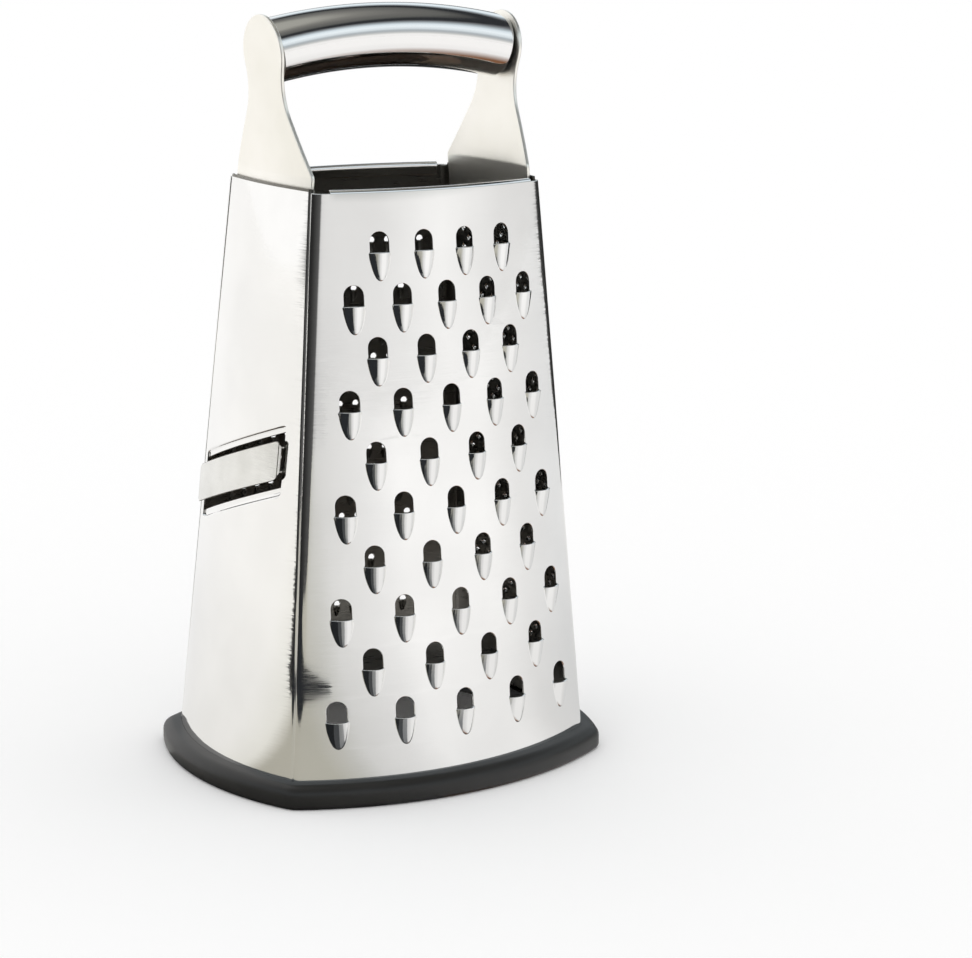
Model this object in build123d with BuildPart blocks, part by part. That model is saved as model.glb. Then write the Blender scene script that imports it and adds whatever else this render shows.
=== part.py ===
from build123d import *
import os
from math import asin, atan, cos, degrees, radians, sin, sqrt, tan

# A four-sided box grater in stainless steel sheet, standing in a rubber ring.
# Millimetres. X runs along the width, the coarse wall faces -Y, +Z is up and
# the origin is the middle of the base, on the table. Seen from the coarse wall
# the slicing wall is on the left, the star-punched wall on the right and the
# medium wall at the back.

os.makedirs("parts", exist_ok=True)

# Walls: corner to corner, as if they reached the table, and at the rim. Each
# wall bulges outwards in plan by its bow.
rim_height = 195.4
foot_height = 2.0
table_width = 113.6
rim_width = 85.0
table_depth = 80.4
rim_depth = 56.5
table_front_bow = 14.7
rim_front_bow = 6.6
table_side_bow = 9.6
rim_side_bow = 2.3
sheet = 0.6
corner_radius = 3.5

# Corner seams: the front and rear sheets bend round the corner and lap over a
# set-back edge of the side sheets.
wrap = 3.2
seam_gap = 0.15
lap_gap = 0.1
lap = 2.6
step_length = 1.0

# Rolled hem along the top of the front and rear walls
hem_radius = 1.2
hem_leg = 3.0
hem_corner_space = 4.5

# Coarse teeth: an arched opening over a scoop that rises to a cutting lip
coarse_rows = 10
coarse_columns = 5
coarse_pitch = 16.54
coarse_top_space = 20.0
coarse_side_space_low = 10.8
coarse_side_space_high = 13.3
coarse_lip_width = 7.5
coarse_lip_rise = 2.3
coarse_scoop_length = 8.8
coarse_opening_height = 7.0
coarse_tip_rise = 0.4
coarse_facets = 12

# Medium teeth on the rear wall
medium_rows = 11
medium_columns = 7
medium_pitch = 14.0
medium_top_space = 19.0
medium_side_space_low = 10.0
medium_side_space_high = 12.0
medium_lip_width = 4.4
medium_lip_rise = 1.3
medium_scoop_length = 5.0
medium_opening_height = 3.6
medium_tip_rise = 0.2
medium_facets = 6

# Star punches on the right wall: a square burr with a hole through its point
punch_rows = 16
punch_columns = 5
punch_pitch = 10.2
punch_top_space = 22.0
punch_side_space_low = 9.5
punch_side_space_high = 9.0
punch_width = 3.4
punch_point_width = 1.4
punch_rise = 1.3

# Slicer on the left wall: a bridge of the same sheet, raised over a slanted
# window, with a slot and a pressed-in lip above and below it
slicer_height = 100.9
slicer_shift = 2.0
slicer_tilt = 19.0
slicer_length = 51.0
slicer_blade = 12.0
slicer_upper_slot = 1.8
slicer_lower_slot = 3.1
slicer_upper_lip = 2.8
slicer_lower_lip = 2.3
slicer_lip_drop = 0.35
slicer_lift = 2.2
slicer_leg = 0.9

# Handle uprights: plates inside the side walls, leaning out above a crease
plate = 1.2
plate_gap = 0.5
plate_side_gap = 0.2
plate_tab = 28.0
plate_tab_corner = 8.0
crease_rise = 3.2
plate_lean = 4.2
shoulder_radius = 3.0
flank_top_width = 3.6
head_radius = 12.0
head_rise = 37.3
neck_radius = 20.0

# Handle tube: hollow, arched, cut square and welded between the heads
tube_radius = 10.4
tube_wall = 1.0
tube_arch_radius = 215.0
tube_top_height = 251.4
tube_fit = 0.05

# Spot welds that join the uprights to the side walls
weld_radius = 2.2
weld_facets = 8
weld_columns = 3
weld_rows = 2
weld_column_pitch = 14.0
weld_row_pitch = 11.0
weld_drop = 9.0
weld_fit = 0.06

# Base ring: soft rubber, pushed on over the feet of the walls
ring_height = 7.7
ring_proud = 5.5
ring_top_round = 3.5
ring_foot_round = 1.5
ring_fit = 0.05
ring_lip = 2.2
ring_lip_height = 6.0

# Working allowance by which cutting shapes run past what they cut
overrun = 5.0

# Turns from the front wall to each wall
front_turn = 0
right_turn = 90
rear_turn = 180
left_turn = 270

reach = table_width
hem_base = rim_height - hem_radius
seam_depth = 2 * sheet + lap_gap
crease_height = rim_height + crease_rise
plate_inset = sheet + plate_gap
plate_half_width = rim_depth / 2 - wrap - seam_gap - step_length - plate_side_gap
tab_height = rim_height - plate_tab
head_height = crease_height + head_rise
plate_top = head_height + head_radius


def body_size(z):
    """Width, depth, front bow and side bow of the body at height z."""
    rise_share = z / rim_height
    ends = (
        (table_width, rim_width),
        (table_depth, rim_depth),
        (table_front_bow, rim_front_bow),
        (table_side_bow, rim_side_bow),
    )
    return [low + (high - low) * rise_share for low, high in ends]


def bow_radius(chord, bow):
    """Radius of the arc that spans a chord and bulges by a bow."""
    return ((chord / 2) ** 2 + bow**2) / (2 * bow)


def inset_corner(z, inset):
    """The sharp corner where the front-right arcs meet when both are moved in by inset."""
    width, depth, front_bow, side_bow = body_size(z)
    front_radius, side_radius = bow_radius(width, front_bow), bow_radius(depth, side_bow)
    front_centre = Vector(0, front_radius - depth / 2 - front_bow)
    side_centre = Vector(width / 2 + side_bow - side_radius, 0)
    between = side_centre - front_centre
    front_radius, side_radius = front_radius - inset, side_radius - inset
    along = (front_radius**2 - side_radius**2 + between.length**2) / (2 * between.length)
    aside = sqrt(front_radius**2 - along**2)
    step = between.normalized()
    return front_centre + step * along + step.rotate(Axis.Z, 90) * aside


def outline(z, inset):
    """The body's outline at height z, moved in by inset."""
    width, depth, front_bow, side_bow = body_size(z)
    corner = inset_corner(z, inset)
    x, y = corner.X, -corner.Y
    x_bulge = width / 2 + side_bow - inset
    y_bulge = depth / 2 + front_bow - inset
    with BuildSketch(Plane.XY.offset(z)) as face:
        with BuildLine():
            ThreePointArc((-x, -y), (0, -y_bulge), (x, -y))
            ThreePointArc((x, -y), (x_bulge, 0), (x, y))
            ThreePointArc((x, y), (0, y_bulge), (-x, y))
            ThreePointArc((-x, y), (-x_bulge, 0), (-x, -y))
        make_face()
        fillet(face.vertices(), max(corner_radius - inset, sheet))
    return face.sketch


def layer(outer_inset, inner_inset, z_low, z_high):
    """The part of the body's wall between two insets, all the way round."""
    with BuildPart(mode=Mode.PRIVATE) as band:
        for inset, mode in ((outer_inset, Mode.ADD), (inner_inset, Mode.SUBTRACT)):
            loft([outline(z_low, inset), outline(z_high, inset)], ruled=True, mode=mode)
    return band.part


def corner_slab(start, end):
    """A slab across the body, from start to end behind the line of the front corners."""
    front_low = -body_size(-overrun)[1] / 2
    front_high = -body_size(rim_height + overrun)[1] / 2
    with BuildPart(mode=Mode.PRIVATE) as slab:
        with BuildSketch(Plane.YZ):
            with BuildLine():
                Polyline(
                    (front_low + start, -overrun),
                    (front_low + end, -overrun),
                    (front_high + end, rim_height + overrun),
                    (front_high + start, rim_height + overrun),
                    close=True,
                )
            make_face()
        extrude(amount=reach, both=True)
    return slab.part


def middle_slab(setback):
    """A slab across the body, short of the front and rear corners by a setback."""
    half_low = body_size(-overrun)[1] / 2 - setback
    half_high = body_size(rim_height + overrun)[1] / 2 - setback
    with BuildPart(mode=Mode.PRIVATE) as slab:
        with BuildSketch(Plane.YZ):
            with BuildLine():
                Polyline(
                    (-half_low, -overrun),
                    (half_low, -overrun),
                    (half_high, rim_height + overrun),
                    (-half_high, rim_height + overrun),
                    close=True,
                )
            make_face()
        extrude(amount=reach, both=True)
    return slab.part


def wall_sizes(turn, z):
    """Chord, corner distance and bow of the wall that faces a turn from the front."""
    width, depth, front_bow, side_bow = body_size(z)
    if turn % 180 == 0:
        return width, depth / 2, front_bow
    return depth, width / 2, side_bow


def wall_distance(turn, across, z):
    """How far a wall's outer face lies from the body's axis at a place on it."""
    chord, corner, bow = wall_sizes(turn, z)
    radius = bow_radius(chord, bow)
    return corner + bow - radius + sqrt(radius**2 - across**2)


def wall_plane(turn, across, z, inset=0):
    """A plane on a wall's outer face, X across it, Y up it and Z outwards."""
    rise = wall_distance(turn, across, z + sheet) - wall_distance(turn, across, z - sheet)
    slip = wall_distance(turn, across + sheet, z) - wall_distance(turn, across - sheet, z)
    lean_up, lean_across = rise / (2 * sheet), slip / (2 * sheet)
    place = Vector(across, inset - wall_distance(turn, across, z), z)
    right = Vector(1, -lean_across, 0)
    out = Vector(-lean_across, -1, -lean_up)
    place, right, out = (vector.rotate(Axis.Z, turn) for vector in (place, right, out))
    return Plane(origin=place, x_dir=right, z_dir=out)


def staggered(turn, rows, columns, pitch, top_space, side_space_low, side_space_high):
    """Planes for rows that hold, in turn, one fewer than the full count and the full count."""
    planes = []
    for row in range(rows):
        z = rim_height - top_space - row * pitch
        side_space = side_space_low + (side_space_high - side_space_low) * z / rim_height
        spacing = (wall_sizes(turn, z)[0] - 2 * side_space) / (columns - 1)
        count = columns - 1 + row % 2
        for column in range(count):
            across = (column - (count - 1) / 2) * spacing
            planes.append(wall_plane(turn, across, z))
    return planes


def scoop(lip_radius, tip_radius, sink, length, sides):
    """A tapered round nose lying along -Y, its axis sunk below the sheet's face."""
    with BuildPart(mode=Mode.PRIVATE) as nose:
        for place, radius in ((0, lip_radius), (length, tip_radius)):
            with BuildSketch(Plane.XZ.offset(place)):
                with Locations((0, -sink)):
                    RegularPolygon(radius, sides, rotation=180 / sides)
        loft(ruled=True)
    return nose.part


def arch(half_width, height, sides):
    """The opening above a lip: straight sides under a round top."""
    with BuildPart(mode=Mode.PRIVATE) as window:
        with BuildSketch(Plane.XY.offset(-overrun)):
            with Locations((0, height - half_width)):
                RegularPolygon(half_width, sides)
            with Locations((0, (height - half_width) / 2)):
                Rectangle(2 * half_width, height - half_width)
        extrude(amount=2 * overrun)
    return window.part


def tooth(lip_width, lip_rise, tip_rise, scoop_length, opening_height, sides):
    """The metal that a tooth adds to its wall, and the space that it takes away."""
    sink = ((lip_width / 2) ** 2 - lip_rise**2) / (2 * lip_rise)
    lip_radius = sink + lip_rise
    tip_radius = sink + tip_rise
    metal = scoop(lip_radius, tip_radius, sink, scoop_length, sides)
    metal = split(metal, Plane.XY.offset(-sheet / 2), keep=Keep.TOP)
    half_width = sqrt((lip_radius - sheet) ** 2 - (sink - sheet) ** 2)
    with BuildPart(mode=Mode.PRIVATE) as space:
        add(scoop(lip_radius - sheet, tip_radius - sheet, sink, scoop_length - sheet, sides))
        add(arch(half_width, opening_height, sides))
        split(bisect_by=Plane.XY.offset(-3 * sheet), keep=Keep.TOP)
    return metal, space.part


def punch(width, point_width, rise):
    """A square burr's metal and the square hole through it."""
    taper = degrees(atan((width - point_width) / 2 / rise))
    with BuildPart(mode=Mode.PRIVATE) as metal:
        with BuildSketch(Plane.XY.offset(-sheet / 2)):
            Rectangle(width, width, rotation=45)
        extrude(amount=rise + sheet / 2, taper=taper)
    with BuildPart(mode=Mode.PRIVATE) as space:
        with BuildSketch(Plane.XY.offset(-3 * sheet / 2)):
            Rectangle(width, width, rotation=45)
        extrude(amount=rise + sheet, taper=taper)
    return metal.part, space.part


def hem():
    """The hem's section, rolled inwards, turned about the axis of the front wall's top arc."""
    width, depth, front_bow, _ = body_size(hem_base)
    radius = bow_radius(width, front_bow)
    centre = radius - depth / 2 - front_bow
    sweep_angle = degrees(asin((width / 2 - hem_corner_space) / radius))
    out = Vector(0, -1, 0).rotate(Axis.Z, -sweep_angle)
    normal = out.cross(Vector(0, 0, 1))
    start = Plane(origin=(0, centre, 0), x_dir=out, z_dir=normal)
    with BuildPart(mode=Mode.PRIVATE) as roll:
        with BuildSketch(start):
            with Locations((radius - hem_radius, hem_base)):
                Circle(hem_radius)
                Circle(hem_radius - sheet, mode=Mode.SUBTRACT)
            with Locations((radius - hem_radius, hem_base - hem_radius)):
                Rectangle(2 * hem_radius, 2 * hem_radius, mode=Mode.SUBTRACT)
            with Locations((radius - 2 * hem_radius + sheet / 2, hem_base - hem_leg / 2)):
                Rectangle(sheet, hem_leg)
        revolve(axis=Axis((0, centre, 0), (0, 0, 1)), revolution_arc=2 * sweep_angle)
    return roll.part


def front_sheet():
    """The front wall with its corner bends and hem, still without teeth."""
    with BuildPart(mode=Mode.PRIVATE) as wall:
        add(layer(0, sheet, foot_height, hem_base))
        add(corner_slab(-reach, wrap), mode=Mode.INTERSECT)
        add(hem())
    return wall.part


def side_sheet():
    """The right wall, its two upright edges set back to pass behind the front and rear sheets."""
    with BuildPart(mode=Mode.PRIVATE) as edge:
        add(layer(sheet + lap_gap, seam_depth, foot_height, hem_base))
        add(corner_slab(wrap - lap, wrap + seam_gap + step_length), mode=Mode.INTERSECT)
    with BuildPart(mode=Mode.PRIVATE) as step:
        add(layer(0, seam_depth, foot_height, hem_base))
        add(corner_slab(wrap + seam_gap, wrap + seam_gap + step_length), mode=Mode.INTERSECT)
    with BuildPart(mode=Mode.PRIVATE) as wall:
        add(layer(0, sheet, foot_height, rim_height))
        add(middle_slab(wrap + seam_gap), mode=Mode.INTERSECT)
        for piece in (edge.part, step.part):
            add(piece)
            add(mirror(piece, Plane.XZ))
        split(bisect_by=Plane.YZ, keep=Keep.TOP)
    return wall.part


# Front wall, with the coarse teeth
coarse_metal, coarse_space = tooth(
    coarse_lip_width,
    coarse_lip_rise,
    coarse_tip_rise,
    coarse_scoop_length,
    coarse_opening_height,
    coarse_facets,
)
coarse_planes = staggered(
    front_turn,
    coarse_rows,
    coarse_columns,
    coarse_pitch,
    coarse_top_space,
    coarse_side_space_low,
    coarse_side_space_high,
)
with BuildPart() as front_panel:
    add(front_sheet())
    with Locations(*coarse_planes):
        add(coarse_metal)
    with Locations(*coarse_planes):
        add(coarse_space, mode=Mode.SUBTRACT)
front_panel.part.label = "front_panel"
export_step(front_panel.part, "parts/front_panel.step")

# Rear wall, the front sheet turned round, with the medium teeth
medium_metal, medium_space = tooth(
    medium_lip_width,
    medium_lip_rise,
    medium_tip_rise,
    medium_scoop_length,
    medium_opening_height,
    medium_facets,
)
medium_planes = staggered(
    rear_turn,
    medium_rows,
    medium_columns,
    medium_pitch,
    medium_top_space,
    medium_side_space_low,
    medium_side_space_high,
)
with BuildPart() as rear_panel:
    add(front_sheet().rotate(Axis.Z, rear_turn))
    with Locations(*medium_planes):
        add(medium_metal)
    with Locations(*medium_planes):
        add(medium_space, mode=Mode.SUBTRACT)
rear_panel.part.label = "rear_panel"
export_step(rear_panel.part, "parts/rear_panel.step")

# Right wall, with the star punches
punch_metal, punch_space = punch(punch_width, punch_point_width, punch_rise)
punch_planes = staggered(
    right_turn,
    punch_rows,
    punch_columns,
    punch_pitch,
    punch_top_space,
    punch_side_space_low,
    punch_side_space_high,
)
with BuildPart() as star_panel:
    add(side_sheet())
    with Locations(*punch_planes):
        add(punch_metal)
    with Locations(*punch_planes):
        add(punch_space, mode=Mode.SUBTRACT)
star_panel.part.label = "star_panel"
export_step(star_panel.part, "parts/star_panel.step")


def slicer_block(low, high, start, end):
    """A block through the left wall, in the slicer's tilted frame."""
    middle = wall_plane(left_turn, -slicer_shift, slicer_height)
    frame = Plane(middle.location * Rotation(0, 0, slicer_tilt))
    with BuildPart(mode=Mode.PRIVATE) as block:
        with BuildSketch(frame.offset(-overrun)):
            with Locations(((start + end) / 2, (low + high) / 2)):
                Rectangle(end - start, high - low)
        extrude(amount=2 * overrun)
    return block.part


def slicer_strip(outer_inset, inner_inset, low, high, start, end):
    """The part of a slicer block between two insets from the walls' outer face."""
    with BuildPart(mode=Mode.PRIVATE) as strip:
        add(slicer_block(low, high, start, end))
        for inset, mode in ((outer_inset, Mode.INTERSECT), (inner_inset, Mode.SUBTRACT)):
            loft([outline(foot_height, inset), outline(rim_height, inset)], ruled=True, mode=mode)
    return strip.part


# Left wall, the right sheet mirrored, with the slicer
blade_low, blade_high = -slicer_blade / 2, slicer_blade / 2
upper_edge = blade_high + slicer_upper_slot
lower_edge = blade_low - slicer_lower_slot
upper_crease = upper_edge + slicer_upper_lip
lower_crease = lower_edge - slicer_lower_lip
start, end = -slicer_length / 2, slicer_length / 2
root = slicer_leg / 2
lip_inset = slicer_lip_drop + sheet
under_sizes = (lower_edge, upper_edge, start + root, end - root)
with BuildPart(mode=Mode.PRIVATE) as bridge:
    add(slicer_strip(-slicer_lift, sheet, blade_low, blade_high, start - root, end + root))
    add(slicer_strip(sheet - slicer_lift, 2 * sheet, *under_sizes), mode=Mode.SUBTRACT)
with BuildPart() as slicer_panel:
    add(mirror(side_sheet(), Plane.YZ))
    add(slicer_block(lower_crease, upper_crease, start, end), mode=Mode.SUBTRACT)
    for low, high in ((upper_edge, upper_crease + root), (lower_crease - root, lower_edge)):
        add(slicer_strip(slicer_lip_drop, lip_inset, low, high, start - root, end + root))
    add(bridge.part)
slicer_panel.part.label = "slicer_panel"
export_step(slicer_panel.part, "parts/slicer_panel.step")


def plate_bulge(inset, z):
    """Where a side wall's arc, moved in by inset, crosses the X axis at height z."""
    width, _, _, side_bow = body_size(z)
    return width / 2 + side_bow - inset


def plate_band(z):
    """The plate's curved section just inside a side wall, at height z."""
    _, depth, _, side_bow = body_size(z)
    radius = bow_radius(depth, side_bow)
    with BuildSketch(Plane.XY.offset(z)) as band:
        for inset, mode in ((plate_inset, Mode.ADD), (plate_inset + plate, Mode.SUBTRACT)):
            with Locations((plate_bulge(inset, z) - radius + inset, 0)):
                Circle(radius - inset, mode=mode)
        with Locations((plate_bulge(plate_inset, z), 0)):
            Rectangle(4 * overrun, 2 * plate_half_width, mode=Mode.INTERSECT)
    return band.sketch


def upright_outline():
    """The upright seen from its side: a rounded tab, sloping shoulders, a neck and a round head."""
    half, narrow = plate_half_width, flank_top_width / 2
    with BuildSketch(Plane.YZ) as face:
        with BuildLine():
            Polyline(
                (-half, tab_height),
                (half, tab_height),
                (half, crease_height),
                (narrow, head_height),
                (-narrow, head_height),
                (-half, crease_height),
                close=True,
            )
        make_face()
        with Locations((0, head_height)):
            Circle(head_radius)
        corners, shoulders, necks = face.vertices().group_by(Axis.Y)[:3]
        fillet(necks, neck_radius)
        fillet(shoulders, shoulder_radius)
        fillet(corners, plate_tab_corner)
    return face.sketch


# Right upright: a curved tab behind the wall, flattening towards the head
head_shift = (plate_top - crease_height) * tan(radians(plate_lean))
head_face = plate_bulge(plate_inset, crease_height) + head_shift
with BuildSketch(Plane.XY.offset(plate_top)) as head_band:
    with Locations((head_face - plate / 2, 0)):
        Rectangle(plate, 2 * plate_half_width)
with BuildPart() as right_upright:
    loft([plate_band(tab_height), plate_band(crease_height)], ruled=True)
    loft([plate_band(crease_height), head_band.sketch], ruled=True)
    extrude(upright_outline(), amount=reach, mode=Mode.INTERSECT)
right_upright.part.label = "right_upright"
export_step(right_upright.part, "parts/right_upright.step")

# Left upright
with BuildPart() as left_upright:
    add(mirror(right_upright.part, Plane.YZ))
left_upright.part.label = "left_upright"
export_step(left_upright.part, "parts/left_upright.step")

# Handle tube: its square ends meet the leaning heads along their top edge
lean = tan(radians(plate_lean))
arch_centre = tube_top_height - tube_radius - tube_arch_radius
arch_outer = tube_arch_radius + tube_radius
inner_face = plate_bulge(plate_inset + plate + tube_fit, crease_height)
end_reach = inner_face + lean * (arch_centre - crease_height)
half_arch = degrees(atan(lean) + asin(end_reach / (arch_outer * sqrt(1 + lean**2))))
arch_axis = Axis((0, 0, arch_centre), (0, 1, 0))
with BuildPart() as handle_tube:
    with BuildSketch(Plane.YZ):
        with Locations((0, arch_centre + tube_arch_radius)):
            Circle(tube_radius)
            Circle(tube_radius - tube_wall, mode=Mode.SUBTRACT)
    revolve(axis=arch_axis, revolution_arc=2 * half_arch)
handle_tube.part = handle_tube.part.rotate(arch_axis, -half_arch)
handle_tube.part.label = "handle_tube"
export_step(handle_tube.part, "parts/handle_tube.step")

# Spot welds, between the uprights and the side walls
weld_planes = []
for turn in (right_turn, left_turn):
    for column in range(weld_columns):
        for row in range(weld_rows):
            across = (column - (weld_columns - 1) / 2) * weld_column_pitch
            z = rim_height - weld_drop - row * weld_row_pitch
            weld_planes.append(wall_plane(turn, across, z, sheet + plate_gap / 2))
with BuildPart(mode=Mode.PRIVATE) as weld:
    with BuildSketch():
        RegularPolygon(weld_radius, weld_facets)
    extrude(amount=plate_gap / 2 - weld_fit, both=True)
with BuildPart() as spot_welds:
    with Locations(*weld_planes):
        add(weld.part)
spot_welds.part.label = "spot_welds"
export_step(spot_welds.part, "parts/spot_welds.step")

# Base ring: a channel for the feet of the walls, with a lower inner lip
channel_inner = seam_depth + ring_fit
mouth_inset = channel_inner + ring_lip
with BuildPart() as base_ring:
    extrude(outline(0, -ring_proud), amount=ring_height)
    fillet(base_ring.faces().sort_by(Axis.Z)[-1].edges(), ring_top_round)
    fillet(base_ring.faces().sort_by(Axis.Z)[0].edges(), ring_foot_round)
    channel = [outline(z, -ring_fit) for z in (foot_height, rim_height)]
    loft(channel, ruled=True, mode=Mode.SUBTRACT)
    lip = [outline(z, channel_inner) for z in (foot_height / 2, ring_lip_height)]
    loft(lip, ruled=True)
    extrude(outline(0, mouth_inset), amount=ring_height, mode=Mode.SUBTRACT)
base_ring.part.label = "base_ring"
export_step(base_ring.part, "parts/base_ring.step")
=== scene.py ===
"""The dressed model of a four-sided box grater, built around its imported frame.

Sizes are in millimetres until a mesh is made. X runs along the width, the
coarse wall faces -Y and Z is up, as in the frame.
"""

import logging
import math
from collections.abc import Callable
from dataclasses import dataclass, field
from enum import Enum, IntEnum

import bpy
import numpy as np
from mathutils import Matrix

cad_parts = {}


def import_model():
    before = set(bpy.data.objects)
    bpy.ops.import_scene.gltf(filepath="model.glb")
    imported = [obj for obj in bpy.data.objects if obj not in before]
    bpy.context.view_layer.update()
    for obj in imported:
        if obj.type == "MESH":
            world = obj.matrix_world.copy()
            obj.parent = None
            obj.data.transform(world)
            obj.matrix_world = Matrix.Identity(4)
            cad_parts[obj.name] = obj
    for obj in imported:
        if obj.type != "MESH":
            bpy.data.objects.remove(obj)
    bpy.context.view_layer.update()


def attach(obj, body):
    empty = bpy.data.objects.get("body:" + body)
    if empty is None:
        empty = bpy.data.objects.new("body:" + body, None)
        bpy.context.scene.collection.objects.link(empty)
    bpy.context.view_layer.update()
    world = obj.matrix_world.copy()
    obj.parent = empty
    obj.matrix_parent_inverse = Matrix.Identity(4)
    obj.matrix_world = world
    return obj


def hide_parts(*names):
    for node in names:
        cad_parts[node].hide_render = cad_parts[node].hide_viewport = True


log = logging.getLogger("box_grater")

MM = 0.001
WELD_DIGITS = 4
QUARTER = math.pi / 2
DIAGONAL = 0.7071
DIAGONAL_GAP = 0.2929
TINY = 1e-12


class Side(Enum):
    """The four walls, by how far each is turned from the coarse one."""

    FRONT = 0
    RIGHT = 90
    REAR = 180
    LEFT = 270


class Skin(IntEnum):
    """What a wall's patch takes in front; SHEET, INSIDE and BLADE are places in Wall.finishes.

    The back of a patch is INSIDE, a dark tint painted as the shade inside the box, except behind a PETAL, which is
    SHEET on both sides.
    """

    SHEET = 0
    INSIDE = 1
    BLADE = 2
    PETAL = 3


# Colours and shader nodes


def linear(code: str) -> tuple[float, float, float, float]:
    """Turn an sRGB hex colour into linear light.

    Args:
        code: six hex digits, red, green and blue.

    Returns:
        Linear red, green and blue with full alpha.
    """
    shares = [int(code[i : i + 2], 16) / 255 for i in (0, 2, 4)]
    bent = [s / 12.92 if s <= 0.04045 else ((s + 0.055) / 1.055) ** 2.4 for s in shares]
    return (bent[0], bent[1], bent[2], 1.0)


def empty_material(name: str) -> tuple[bpy.types.Material, bpy.types.NodeTree]:
    """Make a material without nodes.

    Args:
        name: its name.

    Returns:
        The material and its empty node tree.
    """
    made = bpy.data.materials.new(name)
    made.use_nodes = True
    made.node_tree.nodes.clear()
    return made, made.node_tree


def node(
    tree: bpy.types.NodeTree, kind: str, settings: dict | None = None, links: dict | None = None
) -> bpy.types.Node:
    """Add one shader node.

    Args:
        tree: the node tree that takes it.
        kind: Blender's name of the node type.
        settings: attributes, or input sockets by name or place, and their values;
            stops is a colour ramp's list of positions and linear colours.
        links: input sockets by name or place, and the output sockets that feed them.

    Returns:
        The new node.
    """
    made = tree.nodes.new(kind)
    for name, value in (settings or {}).items():
        if name == "stops":
            elements = made.color_ramp.elements
            elements[0].position, elements[0].color = value[0]
            elements[1].position, elements[1].color = value[-1]
            for position, colour in value[1:-1]:
                elements.new(position).color = colour
        elif isinstance(name, str) and hasattr(made, name) and name not in made.inputs:
            setattr(made, name, value)
        else:
            made.inputs[name].default_value = value
    for name, source in (links or {}).items():
        tree.links.new(source, made.inputs[name])
    return made


class Grain(Enum):
    """The way that polishing lines run, as the axes along which they are long."""

    AROUND = (True, True, False)
    ALONG_X = (True, False, False)
    NONE = (False, False, False)


@dataclass(frozen=True)
class Steel:
    """Stainless steel: a metal whose streaks, smears and gloss come from how it was finished.

    line_mm is the spacing of the polishing lines and line_length_mm how long
    one keeps its slope. sway is how far a line turns the surface sideways,
    which draws the edge of a reflection out into streaks.
    """

    name: str
    tint: str = "F9F8F6"
    shade: str = "F2F1EF"
    roughness: float = 0.06
    roughness_spread: float = 0.025
    grain: Grain = Grain.AROUND
    line_mm: float = 0.35
    line_length_mm: float = 9.0
    sway: float = 0.05
    smear_mm: float = 35.0

    def material(self) -> bpy.types.Material:
        """Make the Blender material.

        The normal is N + s (n - 1/2) Z x N for stretched noise n and sway s.

        Returns:
            A metal whose normal, roughness and tint follow noise in real sizes.
        """
        made, tree = empty_material(self.name)
        place = node(tree, "ShaderNodeTexCoord")
        spacing = [self.line_length_mm if along else self.line_mm for along in self.grain.value]
        scale = [1 / (size * MM) for size in spacing]
        mapped = node(tree, "ShaderNodeMapping", {"Scale": scale}, {"Vector": place.outputs["Object"]})
        lines = node(
            tree, "ShaderNodeTexNoise", {"Scale": 1.0, "Detail": 2.0, "Roughness": 0.6},
            {"Vector": mapped.outputs["Vector"]},
        )
        smear = node(
            tree, "ShaderNodeTexNoise", {"Scale": 1 / (self.smear_mm * MM), "Detail": 3.0},
            {"Vector": place.outputs["Object"]},
        )
        colour = node(
            tree, "ShaderNodeValToRGB", {"stops": [(0.35, linear(self.tint)), (0.65, linear(self.shade))]},
            {"Fac": smear.outputs["Fac"]},
        )
        rough = node(
            tree,
            "ShaderNodeMapRange",
            {
                "From Min": 0.3,
                "From Max": 0.7,
                "To Min": self.roughness - self.roughness_spread,
                "To Max": self.roughness + self.roughness_spread,
            },
            {"Value": lines.outputs["Fac"]},
        )
        facing = node(tree, "ShaderNodeNewGeometry")
        centred = node(
            tree, "ShaderNodeMath", {"operation": "MULTIPLY_ADD", 1: self.sway, 2: -self.sway / 2},
            {0: lines.outputs["Fac"]},
        )
        sideways = node(
            tree, "ShaderNodeVectorMath", {"operation": "CROSS_PRODUCT", 0: (0.0, 0.0, 1.0)},
            {1: facing.outputs["Normal"]},
        )
        swayed = node(
            tree, "ShaderNodeVectorMath", {"operation": "MULTIPLY_ADD"},
            {0: sideways.outputs["Vector"], 1: centred.outputs["Value"], 2: facing.outputs["Normal"]},
        )
        normal = node(tree, "ShaderNodeVectorMath", {"operation": "NORMALIZE"}, {0: swayed.outputs["Vector"]})
        shader = node(
            tree,
            "ShaderNodeBsdfPrincipled",
            {"Metallic": 1.0},
            {
                "Base Color": colour.outputs["Color"],
                "Roughness": rough.outputs["Result"],
                "Normal": normal.outputs["Vector"],
            },
        )
        node(tree, "ShaderNodeOutputMaterial", links={"Surface": shader.outputs["BSDF"]})
        return made


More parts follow.
